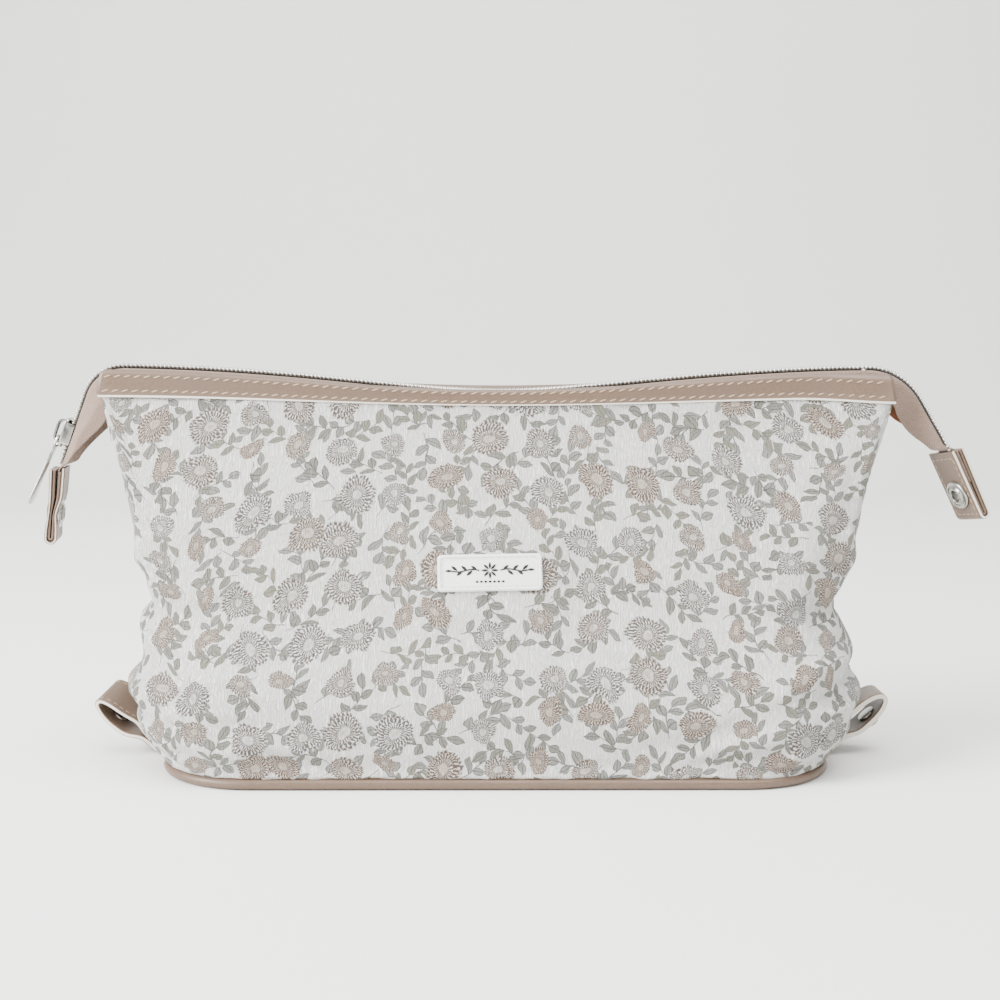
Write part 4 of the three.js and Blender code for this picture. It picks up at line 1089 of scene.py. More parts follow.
def make_walls(shape):
    """The printed walls and their lining, each half in one piece."""
    outer = wall_grid(0, BAG_HEIGHT - BAND_HEIGHT + 2.2)
    inner = wall_grid(2.0, BAG_HEIGHT - BAND_HEIGHT + 1.0)
    moves = wall_moves(outer, shape)
    for half, facing, flap in (("front", -1, FRONT_FLAP), ("back", 1, BACK_FLAP)):
        start, end = fold_zone(facing)
        for kind, grid, finish, slot, thick in (
            ("wall", outer, "cloth", "printed_fabric", shape.cloth_thickness),
            ("lining", inner, "lining", "tan_lining", shape.lining_thickness),
        ):
            laid = (grid + moves[half]) * np.array([1, -facing, 1])
            laid = flared(laid)
            uv = cloth_map(laid, 0 if facing < 0 else 611)
            made = open_shape(laid, uv)
            if facing > 0:
                made = flipped(made)
            nodes = {
                "wall": (f"{half}_panel", f"{half}_upper_panel"),
                "lining": (f"{half}_lining", f"{half}_upper_lining"),
            }[kind]
            smoother = ("SUBSURF", {"levels": 1, "render_levels": 1})
            thicker = ("SOLIDIFY", {"thickness": thick, "offset": -1.0, "use_even_offset": False})
            cloth = piece(
                f"{half}_{kind}",
                made,
                finish,
                slot,
                stands_for=nodes,
                sharp=0,
                bend=(BODY, flap, start, end),
                modifiers=(smoother, thicker),
            )
            rows = np.linalg.norm(np.diff(laid, axis=0), axis=2)
            lengths = np.linalg.norm(np.diff(laid, axis=1), axis=2).sum(1)
            area = float((rows.sum(0)[:-1] + rows.sum(0)[1:]).mean() / 2 * lengths.mean()) * MM * MM
            flat = (float(rows.sum(0).max()) * MM, float(lengths.max()) * MM)
            area = min(area, flat[0] * flat[1])


# ---- Base ----


def make_base():
    """The leather base, its rounded edge trim and a thin welt along the seam above it."""
    inset = PIPING + 0.3
    outline = resampled(
        rounded_rectangle(BASE_LENGTH / 2 - inset, BASE_DEPTH / 2 - inset, BASE_CORNER - inset, 14), 4, True
    )
    floor = slab(outline, 0, 1.6, 0.5)
    piece("base_leather", floor, "leather", "blush_leather", BODY, ["base_panel"])
    thick = PIPING / 2
    path = rounded_rectangle(BASE_LENGTH / 2 - thick, BASE_DEPTH / 2 - thick, BASE_CORNER - thick, 16)
    path = resampled(path, 1.5, True)
    line = np.column_stack([path, np.full(len(path), 0.2 + thick)])
    roll = tube(line, thick, 14, (0, 0, 1), endless=True)
    seam = rounded_rectangle(BASE_LENGTH / 2 - 1.3, BASE_DEPTH / 2 - 2.4, BASE_CORNER - 1.6, 16)
    seam = resampled(seam, 1.5, True)
    welt = np.column_stack([seam, np.full(len(seam), SEAM_HEIGHT - 0.1)])
    groove = tube(welt, 0.55, 8, (0, 0, 1), endless=True)
    piece("base_piping_roll", roll, "piping", "blush_leather", BODY, ["base_piping"])
    piece("base_seam", groove, "piping", "blush_leather", BODY)
    for name, label in (("base_board", "board"), ("base_lining", "lining")):
        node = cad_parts[name]
        node.data.materials.clear()
        node.data.materials.append(finish_of(label))


# ---- Bands ----


def band_profile():
    """The section of a band: a strip folded over the wire, as (depth, height over the drop) points."""
    low = BAG_HEIGHT - BAND_HEIGHT
    outer, inner, wall = BAND_OUTER + 0.5, BAND_INNER, 0.9
    a = np.linspace(0, np.pi, 13)
    middle, half = (outer + inner) / 2, (outer - inner) / 2
    crown = BAG_HEIGHT - half * 0.9
    skin = np.stack([middle + half * np.cos(a), crown + half * 0.9 * np.sin(a)], -1)
    under = np.stack([middle + (half - wall) * np.cos(a), crown + (half * 0.9 - wall) * np.sin(a)], -1)
    outside = [[outer + 0.1, low + 0.1], [outer + 0.25, low + 2.2], [outer + 0.05, low + 4.5]]
    inside = [[inner, low + 4.5], [inner, low + 0.1], [inner + wall, low + 0.1]]
    inner_back = [[outer - wall, low + 2.2], [outer - wall, low + 0.1]]
    return np.concatenate([outside, skin, inside, under[::-1], inner_back])


def along_mouth(section, half, facing):
    """A section of (depth, height) points carried along the mouth, wider lower down and lowered by the sag."""
    x = np.linspace(-half, half, 91)[:, None]
    lower = (BAG_HEIGHT - section[None, :, 1]) / BAND_HEIGHT
    wide = x * (1 + BAND_SLANT * lower / half)
    z = section[None, :, 1] - mouth_drop(wide, section[None, :, 1], facing)
    y = facing * np.repeat(section[None, :, 0], len(x), 0)
    return flared(np.stack([wide, y, z], -1))


def band_ends(facing):
    """The covers over both ends of a band: the outline of its section, drawn in and out again in four rings."""
    low, outside, inside = BAG_HEIGHT - BAND_HEIGHT, BAND_OUTER + 0.4, 4.5
    cover = [[outside, low + 0.3], [outside, 137.5], [7.6, 139.6], [5.4, 139.6], [inside, 137.5]]
    cover = np.array([*cover, [inside, low + 0.3]])
    middle = cover.mean(0)
    flat = middle + (cover - middle) * np.array([1.0, 0.9, 0.9, 1.0])[:, None, None]
    lower = (BAG_HEIGHT - flat[..., 1]) / BAND_HEIGHT
    found = []
    for hand in (-1, 1):
        x = hand * (MOUTH_LENGTH / 2 - np.array([1.2, 0.1, 0.1, 1.2]))
        wide = x[:, None] + hand * (BAND_SLANT * lower) + hand * np.array([0, 0, 0.7, 0.7])[:, None]
        found.append(solid(flared(np.stack([wide, facing * flat[..., 0], flat[..., 1]], -1))))
    return found


def band_stitches(facing, pitch):
    """Two rows of slanting stitches on each face of a band, at even steps, which follow its sag."""
    low = BAG_HEIGHT - BAND_HEIGHT
    rows = []
    for height, facing_out, depth in (
        (BAG_HEIGHT - 2.3, facing, BAND_OUTER + 0.62),
        (low + 1.6, facing, BAND_OUTER + 0.82),
        (BAG_HEIGHT - 2.6, -facing, -BAND_INNER - 0.03),
        (low + 1.5, -facing, -BAND_INNER),
    ):
        x = np.arange(-MOUTH_LENGTH / 2 + 2.4, MOUTH_LENGTH / 2 - 2, pitch)
        x = x * (1 + BAND_SLANT * (BAG_HEIGHT - height) / BAND_HEIGHT / (MOUTH_LENGTH / 2))
        drop = mouth_drop(x, height, facing)
        places = np.stack([x, np.full(len(x), facing_out * depth), height - drop], -1)
        along = unit(np.stack([np.ones(len(x)), np.zeros(len(x)), np.gradient(-drop, x)], -1))
        out = np.tile([0.0, float(facing_out), 0.0], (len(x), 1))
        rows.append(stitches(flared(places), along, out, slant=0.3 * -facing_out))
    return together(*rows)


def frame_wire(facing):
    """The spring wire in a band: a run that sags with it, a bend at each end and a slanting leg to the fold."""
    x = np.linspace(-134, 134, 60)
    top = np.stack([x, np.full(60, facing * 6.4), BAG_HEIGHT - 4.0 - mouth_drop(x, 136.0, facing)], -1)
    t = np.linspace(0, 1, 30)[1:]
    z = 132.0 + (legs_end() - 132.0) * t
    depth = 6.2 + (4.2 - 6.2) * t
    leg = np.stack([half_length(z) - 2.6, facing * depth, z], -1)
    bend = np.array([[136.3, facing * 6.4, 135.0]])
    mirror = [-1, 1, 1]
    wire = np.concatenate([(leg * mirror)[::-1], bend * mirror, top, bend, leg])
    return tube(flared(resampled(wire, 2.5)), 1.0, 8)


def make_bands(shape):
    """The leather-look band on each side of the mouth, with its stitches, its pale cut edge and its wire."""
    for half, facing, flap in (("front", -1, FRONT_FLAP), ("back", 1, BACK_FLAP)):
        leather = solid(along_mouth(band_profile(), MOUTH_LENGTH / 2 - 0.6, facing))
        band = together(leather, *band_ends(facing))
        piece(f"{half}_band_leather", band, "leather", "blush_leather", flap, [f"{half}_band"])
        sewn = band_stitches(facing, shape.stitch_pitch / MM)
        piece(f"{half}_band_stitching", sewn, "thread", "blush_leather", flap)
        edge = np.array([[0.0, 0.0], [0.42, 0.1], [0.42, 0.75], [0.0, 0.85]])
        edge = edge + [BAND_OUTER + 0.32, BAG_HEIGHT - BAND_HEIGHT - 0.75]
        turned_edge = solid(along_mouth(edge, MOUTH_LENGTH / 2 - 0.2, facing))
        piece(f"{half}_band_edge", turned_edge, "edge", "blush_leather", flap)
        wire = frame_wire(facing)
        piece(f"{half}_frame_wire", wire, "steel", "spring_steel", flap, [f"{half}_wire"])


def legs_end():
    """The height of the wires' lower ends, where the fold's slanting line meets them."""
    return FOLD_HEIGHT + 1.2 - (FOLD_DEPTH / 2 - 4.2) * np.tan(np.radians(OPENING / 2))


# ---- Zip ----


def tooth(pitch):
    """One turn of the coil: a blunt bar that reaches from the tape to the middle of the chain."""
    return bead(CHAIN_WIDTH / 2 - 0.1, pitch * 0.74, CHAIN_HEIGHT * 0.66, 8, 6)


def make_mouth_zip(shape):
    """The tape inside each band and the coil along its upper edge."""
    pitch = shape.tooth_pitch / MM
    level = BAG_HEIGHT + CHAIN_RISE
    for half, facing, flap in (("front", -1, FRONT_FLAP), ("back", 1, BACK_FLAP)):
        rise = np.array([-11.0, -8, -5, -2.4, -1.7, -1.45, -1.4, -1.4])
        depth = np.array([3.75, 3.7, 3.7, 3.7, 3.5, 3.0, 1.8, 0.6])
        x = np.linspace(-MOUTH_ZIP / 2, MOUTH_ZIP / 2, 90)[:, None]
        z = level + rise[None] - chain_drop(x)
        grid = np.stack([np.repeat(x, 8, 1), facing * np.repeat(depth[None], 90, 0), z], -1)
        s = run_along(np.stack([depth, rise], -1))
        uv = np.stack([np.repeat(x, 8, 1), np.repeat(s[None], 90, 0)], -1) * MM
        tape = open_shape(grid, uv)
        if facing > 0:
            tape = flipped(tape)
        thicker = ("SOLIDIFY", {"thickness": TAPE_THICKNESS * MM, "offset": 0.0})
        node = [f"{half}_mouth_tape"]
        made = piece(f"{half}_zip_tape", tape, "tape", "blush_tape", flap, node, 0, modifiers=[thicker])
        count = int(MOUTH_ZIP / pitch)
        at = (np.arange(count) - count / 2 + (0.25 if facing < 0 else 0.75)) * pitch
        aside = np.full(count, facing * (CHAIN_WIDTH / 4 + 0.1))
        places = np.stack([at, aside, level - chain_drop(at)], -1)
        lean = np.gradient(-chain_drop(at), at)
        along = unit(np.stack([np.ones(count), np.zeros(count), lean], -1))
        across = np.tile([0.0, 1.0, 0.0], (count, 1))
        axes = np.stack([along, across, np.cross(along, across)], 1)
        coil = stamped(tooth(pitch), places, axes)
        # core: a dark tube below the teeth, which is painted shadow where the coil meets the tape.
        core = tube(places - np.array([0, 0, SHADOW_CORD_DROP]), SHADOW_CORD_RADIUS, 8)
        node = [f"{half}_mouth_chain"]
        piece(f"{half}_zip_coil", coil, "coil", "zip_metal", flap, node, 60, extra=[("gap", core)])


def on_tail(tail, along):
    """A point of a tail's line, in metres."""
    x, z, _ = tail_line(tail, along)
    return float(x) * MM, 0, float(z) * MM


def tail_width(end, s, length):
    """The tape's width below the coil's edge, how far its cut edge swings out, and how far it is folded over.

    The left tail hangs as an open fold that is widest in the middle; the right one turns over to one side."""
    belly = np.sin(np.pi * np.clip(s / length, 0, 1))
    if end == "left":
        width = 11.2 + 2.0 * belly - 7.6 * smooth(s, length * 0.55, length + 1)
        return width, 0.12 + 0.42 * belly + 0.75 * smooth(s, length * 0.35, length + 1.0), 0 * s
    width = 4.4 + 4.9 * smooth(s, 0, 17) - 1.6 * smooth(s, length * 0.7, length + 1)
    return width, 0.1 + 0.22 * belly, smooth(s, length * 0.3, length)


def tail_tape(end, tail, facing):
    """Half of a tail's tape as a grid, with its run across the tape and the shift of its coil.

    The tape leaves the coil level, turns down over a rounded edge and hangs at an angle from there, so its
    depth and fall are the running sums of the steps' sines and cosines. At the tab it closes to a slit."""
    _, length = tail_lengths(tail)
    s = np.linspace(-TAIL_LEAD, length + TAB_GAP + 12, 60)[:, None]
    v = np.linspace(0, 1, 16)[None]
    x, z, turn = tail_line(tail, s)
    slit = smooth(s, length - 2, length + TAB_GAP)
    width, spread, folded = tail_width(end, s, length)
    spread = spread + (facing * 1.24 - 0.1) * folded
    level = 2.5 + 0.2 * smooth(s, length * 0.35, length + 1.0)
    run = v * (level + width)
    turned_down = np.clip(np.maximum(run - level, 0) / 1.6, 0, 1)
    angle = (np.pi / 2) * (1 - turned_down) + spread * turned_down
    step = np.diff(np.concatenate([np.zeros((len(s), 1)), run], 1), axis=1)
    depth = 0.4 + np.cumsum(step * np.sin(angle), 1)
    rise = -1.4 - np.cumsum(step * np.cos(angle), 1)
    ripple = 0.35 * np.sin(s * 0.55 + v * 4) * v * smooth(s, 2, 10) * (1 - slit)
    depth = np.clip(depth + ripple, -7.2, 7.2)
    shift = -3.6 * folded
    across = facing * depth + shift
    lean = np.tan(np.radians(tail["twist"])) * across * tail["side"]
    raised = rise * (1 - slit) + (lean + 0.17 * facing) * slit
    out = x + tail["side"] * raised * np.sin(turn)
    return s[:, 0], run, shift[:, 0], np.stack([out, across, z + raised * np.cos(turn)], -1)


def make_tails(shape):
    """Both tails: the tape that hangs from the coil, its tongue at the tab, and the coil."""
    pitch = shape.tooth_pitch / MM
    smoother = ("SUBSURF", {"levels": 1, "render_levels": 1})
    thicker = ("SOLIDIFY", {"thickness": TAPE_THICKNESS * MM, "offset": 0.0})
    for end, tail in TAILS.items():
        _, length = tail_lengths(tail)
        start = (tail["side"] * (TAIL_START - 5) * MM, 0, TAIL_TOP * MM)
        inside_tab = on_tail(tail, length + TAB_GAP + 1.5)
        turning = (BODY, f"{end}_tab", on_tail(tail, length + TAIL_SEAM), inside_tab)
        for half, facing, flap in (("front", -1, FRONT_FLAP), ("back", 1, BACK_FLAP)):
            s, run, shift, grid = tail_tape(end, tail, facing)
            uv = np.stack([np.repeat(s[:, None], run.shape[1], 1), run], -1) * MM
            seam = int(np.searchsorted(s, length - TAIL_SEAM))
            bend = (flap, BODY, start, on_tail(tail, length - 2))
            node = f"{end}_tail_{half}"
            for part, rows, moves, stand in (
                ("cloth", slice(0, seam + 1), bend, [f"{node}_tape"]),
                ("tongue", slice(seam, None), turning, []),
            ):
                tape = open_shape(grid[rows], uv[rows])
                if facing * tail["side"] < 0:
                    tape = flipped(tape)
                finish = ("tape", "blush_tape", None, stand, 0, moves, [smoother, thicker])
                piece(f"{node}_{part}", tape, *finish)
            at = np.arange(-0.85 if facing * tail["side"] < 0 else -0.1, length + 1.0, pitch)
            x, z, turn = tail_line(tail, at)
            along = np.stack([tail["side"] * np.cos(turn), 0 * turn, -np.sin(turn)], -1)
            across = np.tile([0.0, float(tail["side"]), 0.0], (len(at), 1))
            axes = np.stack([along, across, np.cross(along, across)], 1)
            aside = facing * (CHAIN_WIDTH / 4 + 0.1) + np.interp(at, s, shift)
            places = np.stack([x, aside, z], -1)
            coil = stamped(tooth(pitch), places, axes)
            # core: a dark tube below the teeth, which is painted shadow where the coil meets the tape.
            core = tube(places - axes[:, 2] * SHADOW_CORD_DROP, SHADOW_CORD_RADIUS, 8)
            extra = [("gap", core)]
            piece(f"{node}_coil", coil, "coil", "zip_metal", None, [f"{node}_chain"], 60, bend, extra=extra)


def make_gusset():
    """A leaf of lining that shows at the right end, between the band's open corner and the zip's tail."""
    t = np.linspace(0, 1, 15)
    half = 2.9 * np.sin(np.pi * t) ** 0.8
    leaf = slab(two_arcs(t * 17, half), -0.35, 0.35, 0.15, 2)
    along = np.array([0.57, 0, -0.82])
    across = np.array([0.82, 0, 0.57])
    axes = np.stack([along, across, np.cross(along, across)])
    piece("right_gusset_lining", moved(leaf, axes, (139.0, 0.6, 134.5)), "lining", "tan_lining", BODY)


def make_slider():
    """The slider, with two plates, side walls, a wedge and a bridge, and its long thin pull."""
    tail = TAILS["left"]
    arc, _ = tail_lengths(tail)
    x, z, turn = (float(v) for v in tail_line(tail, arc + SLIDER_PLACE))
    axes = axes_at(tail["side"], np.degrees(turn))
    place = np.array([x, 0, z])
    outer = CHAIN_WIDTH / 2 + 0.3 + 1
    nose = resampled(rounded_rectangle(5.5, outer, 2.0, 8), 0.5, True)
    taper = 1 - 0.16 * smooth(nose[:, 0], 0, 5.5)
    nose = nose * np.stack([np.ones(len(nose)), taper], -1)
    top = slab(nose, SLIDER_TOP - 1.2, SLIDER_TOP, 0.35)
    low = slab(nose * 0.96, -2.6, -1.65, 0.3)
    lip = resampled(rounded_rectangle(3.9, 0.5, 0.4, 4), 0.4, True)
    walls = [slab(lip + [0, hand * (outer - 0.5)], -1.2, SLIDER_TOP - 0.4, 0.3) for hand in (-1, 1)]
    wedge = np.array([[-5.2, -0.9], [-5.2, 0.9], [-2.6, 0.35], [-1.6, 0], [-2.6, -0.35]])
    wedge = slab(resampled(wedge, 0.4, True)[::-1], -1.7, SLIDER_TOP - 1.0, 0.1)
    half, crown = BRIDGE_LENGTH / 2 - 0.6, SLIDER_TOP + BRIDGE_ROOM + 0.6
    t = np.linspace(0, np.pi, 25)
    arch = np.stack(
        [
            -half * np.sign(np.cos(t)) * np.abs(np.cos(t)) ** 0.45,
            0 * t,
            SLIDER_TOP - 0.5 + (crown - SLIDER_TOP + 0.5) * np.abs(np.sin(t)) ** 0.45,
        ],
        -1,
    )
    bridge = tube(arch, np.full(25, 0.62), 10, flatten=1.7)
    body = together(top, low, *walls, wedge, bridge)
    body = moved(body, axes, place)
    piece("zip_slider_metal", body, "zip_metal", "zip_metal", "zip_slider", ["zip_slider"])
    pivot = np.array([BRIDGE_LENGTH / 2 - BRIDGE_WIRE - PULL_BAR * 0.85, 0, SLIDER_TOP + BRIDGE_ROOM / 2])
    a = np.radians(PULL_TILT)
    tilt = np.array([[np.cos(a), 0, np.sin(a)], [0, 1, 0], [-np.sin(a), 0, np.cos(a)]])
    eye = resampled(rounded_rectangle(2.2, 2.1, 1.0, 6), 0.4, True)
    eye = np.column_stack([eye + [2.2 - 0.2, 0], np.zeros(len(eye))])
    ring = tube(eye, 0.55, 8, (0, 0, 1), endless=True)
    xs = np.array([3.9, 5.0, 7.2, 10, 14, 18, 21, 23, 24.8, 26.0, 26.7, 27.0])
    ys = np.array([1.5, 1.25, 1.15, 1.2, 1.5, 1.9, 2.3, 2.6, 2.75, 2.3, 1.5, 0.5])
    blade = resampled(np.concatenate([np.stack([xs, -ys], -1), np.stack([xs, ys], -1)[::-1]]), 0.5, True)
    blade = slab(blade, -0.5, 0.5, 0.3)
    pull = together(ring, blade)
    pull = moved(moved(pull, tilt, pivot), axes, place)
    piece("zip_pull_metal", pull, "zip_metal", "zip_metal", "zip_pull", ["zip_pull"])


# ---- Tabs and loops ----


FACE_DOWN = np.diag([1.0, -1.0, -1.0])


def socket_shape():
    """The snap's socket: a rolled rim, a dished face and a hollow with a sprung ring in it."""
    rim = [[4.9, 0.0], [5.35, 0.15], [5.4, 0.6], [5.2, 1.05], [4.75, 1.3]]
    dish = [[4.2, 1.2], [3.9, 1.0], [3.6, 1.1], [3.3, 1.6], [3.0, 1.95], [2.6, 2.0]]
    hollow = [[2.35, 1.8], [2.2, 1.3], [2.2, 0.7], [1.6, 0.45], [0.4, 0.45]]
    return turned([*rim, *dish, *hollow])


def cap_shape(shank):
    """The snap's cap: a low dome with a rolled edge, over the shank that goes through the leather."""
    stem = [[1.0, -shank], [1.3, -shank + 0.2], [1.3, -0.02]]
    dome = [[4.3, 0.0], [4.7, 0.2], [4.75, 0.5], [4.5, 0.75], [3.6, 0.95], [2.2, 1.12], [0.5, 1.2]]
    return turned([*stem, *dome])


def stud_shape():
    """The snap's stud: a flange, a waist and the round head that the socket grips."""
    flange = [[3.1, 0.0], [3.5, 0.15], [3.5, 0.45], [3.2, 0.7], [1.9, 0.75]]
    head = [[1.7, 1.0], [1.75, 1.3], [2.1, 1.7], [2.1, 2.1], [1.8, 2.45], [1.2, 2.6], [0.3, 2.6]]
    return turned([*flange, *head])


def rivet_shape():
    """The rivet that holds the stud: a shank and a low round head."""
    shank = [[0.9, -2.1], [1.2, -2.0], [1.2, 0.0]]
    return turned([*shank, [3.2, 0.0], [3.5, 0.2], [3.4, 0.5], [2.4, 0.7], [0.4, 0.75]])


def fold_line(length, half_top, half_end, gap, ply, step=0.7):
    """The line of one ply of a tab: down the outer face, round the fold at the end, and up the inner face."""
    half = np.array([half_top, half_end]) - ply
    end = length - half_end
    a = np.linspace(np.pi / 2, -np.pi / 2, 17)
    bend = np.stack([end + half[1] * np.cos(a), half[1] * np.sin(a)], -1)
    line = np.concatenate([[[0.0, half[0]]], bend, [[gap, -half[0]]]])
    return resampled(line, step)


def make_tabs(shape):
    """The folded leather-look tab on each tail: two plies with raw edges, stitches and a snap."""
    for end, tail in TAILS.items():
        _, length = tail_lengths(tail)
        side = tail["side"]
        tip = [float(v) for v in tail_line(tail, length)]
        a = np.radians(tail["turn"])
        x = tip[0] + side * TAB_GAP * np.cos(a)
        z = tip[1] - TAB_GAP * np.sin(a)
        axes = axes_at(side, tail["tab"])
        t = np.radians(tail["twist"])
        twist = np.array([[1, 0, 0], [0, np.cos(t), np.sin(t)], [0, -np.sin(t), np.cos(t)]])
        axes = twist @ axes
        place = np.array([x, 0, z])
        top, low = TAB_TOP / 2, TAB_END / 2
        outer = strip(fold_line(TAB_LENGTH, top, low, -0.8, 0.55), 1.05, STRAP_WIDTH)
        inner = strip(fold_line(TAB_LENGTH - 1.35, top - 1.25, low - 1.2, 0.6, 0.45), 0.9, STRAP_WIDTH - 0.5)

        def dent(points):
            """The leather is pressed in round the snap: a bell about its place."""
            near = np.exp(-(((points[:, 0] - SNAP_PLACE) ** 2 + points[:, 1] ** 2) / 26) ** 2)
            points = points.copy()
            points[:, 2] -= np.sign(points[:, 2]) * 0.28 * near
            return points

        def pinched(points):
            """The left tab is nipped in by its snap, a bell along it, and then hangs a little outward."""
            if end == "right":
                return points
            points = points.copy()
            points[:, 2] *= 1 - 0.36 * np.exp(-(((points[:, 0] - SNAP_PLACE) / 4.5) ** 2))
            points[:, 2] += 0.9 * smooth(points[:, 0], 9, 17)
            return points

        outer = (pinched(dent(outer[0])), outer[1], outer[2])
        inner = (pinched(inner[0]), inner[1], inner[2])
        core = edge_bands(outer, STRAP_WIDTH / 2)
        body = f"{end}_tab"
        piece(
            f"{end}_tab_leather",
            moved(outer, axes, place),
            "leather",
            "blush_leather",
            body,
            [f"{end}_tab"],
            60,
            extra=[("leather", moved(inner, axes, place)), ("edge", moved(core, axes, place))],
        )
        start, stop, wide = 1.8, TAB_LENGTH - 3.0, 5.9
        rim = np.array([[start, wide], [stop, wide], [stop, -wide], [start, -wide], [start, wide]])
        path = resampled(rim, shape.tab_stitch_pitch / MM)
        along = unit(np.gradient(path, axis=0))
        sewn = []
        for face in (-1, 1):
            share = path[:, 0] / (TAB_LENGTH - low)
            height = top + (low - top) * share - 0.02
            places = pinched(np.column_stack([path, face * height]))
            out = np.tile([0.0, 0.0, float(face)], (len(path), 1))
            sewn.append(stitches(places, np.column_stack([along, 0 * height]), out, 1.9, 0.36, 0.0, 0.04))
        piece(f"{end}_tab_stitching", moved(together(*sewn), axes, place), "thread", "blush_leather", body)
        face = top + (low - top) * SNAP_PLACE / (TAB_LENGTH - low)
        lift = 0.0
        if end == "left":
            face, lift = face * 0.66, 0.85
        ring = moved(moved(socket_shape(), FACE_DOWN, (SNAP_PLACE, 0, -face + 0.2 + lift)), axes, place)
        piece(f"{end}_snap_socket", ring, "snap_metal", "snap_metal", body, [f"{end}_tab_socket"], 50)
        cap = moved(moved(cap_shape(2 * face - 0.5), None, (SNAP_PLACE, 0, face - 0.2 + lift)), axes, place)
        piece(f"{end}_snap_cap", cap, "snap_metal", "snap_metal", body, [f"{end}_tab_cap"], 50)


def edge_bands(shape, half):
    """The raw edges of a strap: thin strips just proud of its two sides, from the same points."""
    points = shape[0]
    rings = points.reshape(-1, 30, 3)
    found = []
    for hand in (1, -1):
        picked = rings[:, :, 1] * hand > half - 0.16
        column = np.flatnonzero(picked[0])
        pair = rings[:, [column[0], column[-1]]] if hand < 0 else rings[:, [column[-1], column[0]]]
        middle = pair.mean(1, keepdims=True)
        near = middle + (pair - middle) * 0.86
        proud = near.copy()
        proud[..., 1] = hand * (half + 0.07)
        back = near.copy()
        back[..., 1] = hand * (half - 0.3)
        ring = np.stack([back[:, 0], proud[:, 0], proud[:, 1], back[:, 1]], 1)
        found.append(solid(ring))
    return together(*found)


def loop_line(inset):
    """The strap's line round a loop: out along the lower run, round the end and back to the root."""

    def eased(sign):
        t = np.linspace(0, 1, 16)[:, None]
        half, root = LOOP_SLIM - inset, max(STRAP_THICKNESS - inset, 0)
        p = [[4, sign * root], [8, sign * root], [LOOP_FLAT - 5, sign * half], [LOOP_FLAT, sign * half]]
        p = np.array(p)
        return (1 - t) ** 3 * p[0] + 3 * (1 - t) ** 2 * t * p[1] + 3 * (1 - t) * t**2 * p[2] + t**3 * p[3]

    half = LOOP_SLIM - inset
    a = np.linspace(-np.pi / 2, np.pi / 2, 21)
    end = LOOP_LENGTH - LOOP_POINT
    bend = np.stack([end + (LOOP_POINT - inset) * np.cos(a), half * np.sin(a)], -1)
    root = max(STRAP_THICKNESS - inset, 0)
    line = [[[-1.5, -root]], eased(-1), bend, eased(1)[::-1], [[-1.5, root]]]
    return resampled(np.concatenate(line), 0.8)


def make_loops(shape):
    """The leather-look loop at each side of the base, with raw edges, stitching and its snap's stud."""
    for end, loop in LOOPS.items():
        side = loop["side"]
        place = np.array([side * (BASE_LENGTH / 2 + loop["stand"]), 0, LOOP_ROOT])
        axes = axes_at(side, -loop["rise"])
        body = f"{end}_loop"

        def wrung(shape, end=end):
            """The left loop is turned about its own line, more and more towards its tip."""
            points, faces, uv = shape
            a = np.radians(-24 if end == "left" else 0) * smooth(points[:, 0], 2, 20)
            x, y, z = points.T
            wrung_y, wrung_z = y * np.cos(a) - z * np.sin(a), y * np.sin(a) + z * np.cos(a)
            return np.stack([x, wrung_y, wrung_z], -1), faces, uv

        line = loop_line(STRAP_THICKNESS / 2)
        strap = strip(line, STRAP_THICKNESS - 0.1, STRAP_WIDTH)
        core = edge_bands(strap, STRAP_WIDTH / 2)
        piece(
            f"{end}_loop_leather",
            moved(wrung(strap), axes, place),
            "leather",
            "blush_leather",
            body,
            [f"{end}_loop"],
            60,
            extra=[("edge", moved(wrung(core), axes, place))],
        )
        path = resampled(line, shape.tab_stitch_pitch / MM)
        along = unit(np.gradient(path, axis=0))
        normal = np.stack([along[:, 1], -along[:, 0]], -1)
        sewn = []
        for hand in (-1, 1):
            outside = path + normal * (STRAP_THICKNESS / 2 - 0.06)
            places = np.stack([outside[:, 0], np.full(len(path), hand * 6.0), outside[:, 1]], -1)
            out = np.stack([normal[:, 0], 0 * path[:, 0], normal[:, 1]], -1)
            direction = np.stack([along[:, 0], 0 * path[:, 0], along[:, 1]], -1)
            keep = path[:, 0] > 3
            sewn.append(stitches(places[keep], direction[keep], out[keep], 1.9, 0.36, 0.0, 0.04))
        sewn = moved(wrung(together(*sewn)), axes, place)
        piece(f"{end}_loop_stitching", sewn, "thread", "blush_leather", body)
        stud = moved(wrung(moved(stud_shape(), FACE_DOWN, (LOOP_SNAP, 0, -LOOP_SLIM - 0.1))), axes, place)
        piece(f"{end}_snap_stud", stud, "snap_metal", "snap_metal", body, [f"{end}_loop_stud"], 50)
        inner_face = (LOOP_SNAP, 0, STRAP_THICKNESS - LOOP_SLIM + 0.1)
        rivet = moved(wrung(moved(rivet_shape(), None, inner_face)), axes, place)
        piece(f"{end}_snap_rivet", rivet, "snap_metal", "snap_metal", body, [f"{end}_loop_rivet"], 50)


# ---- Label ----


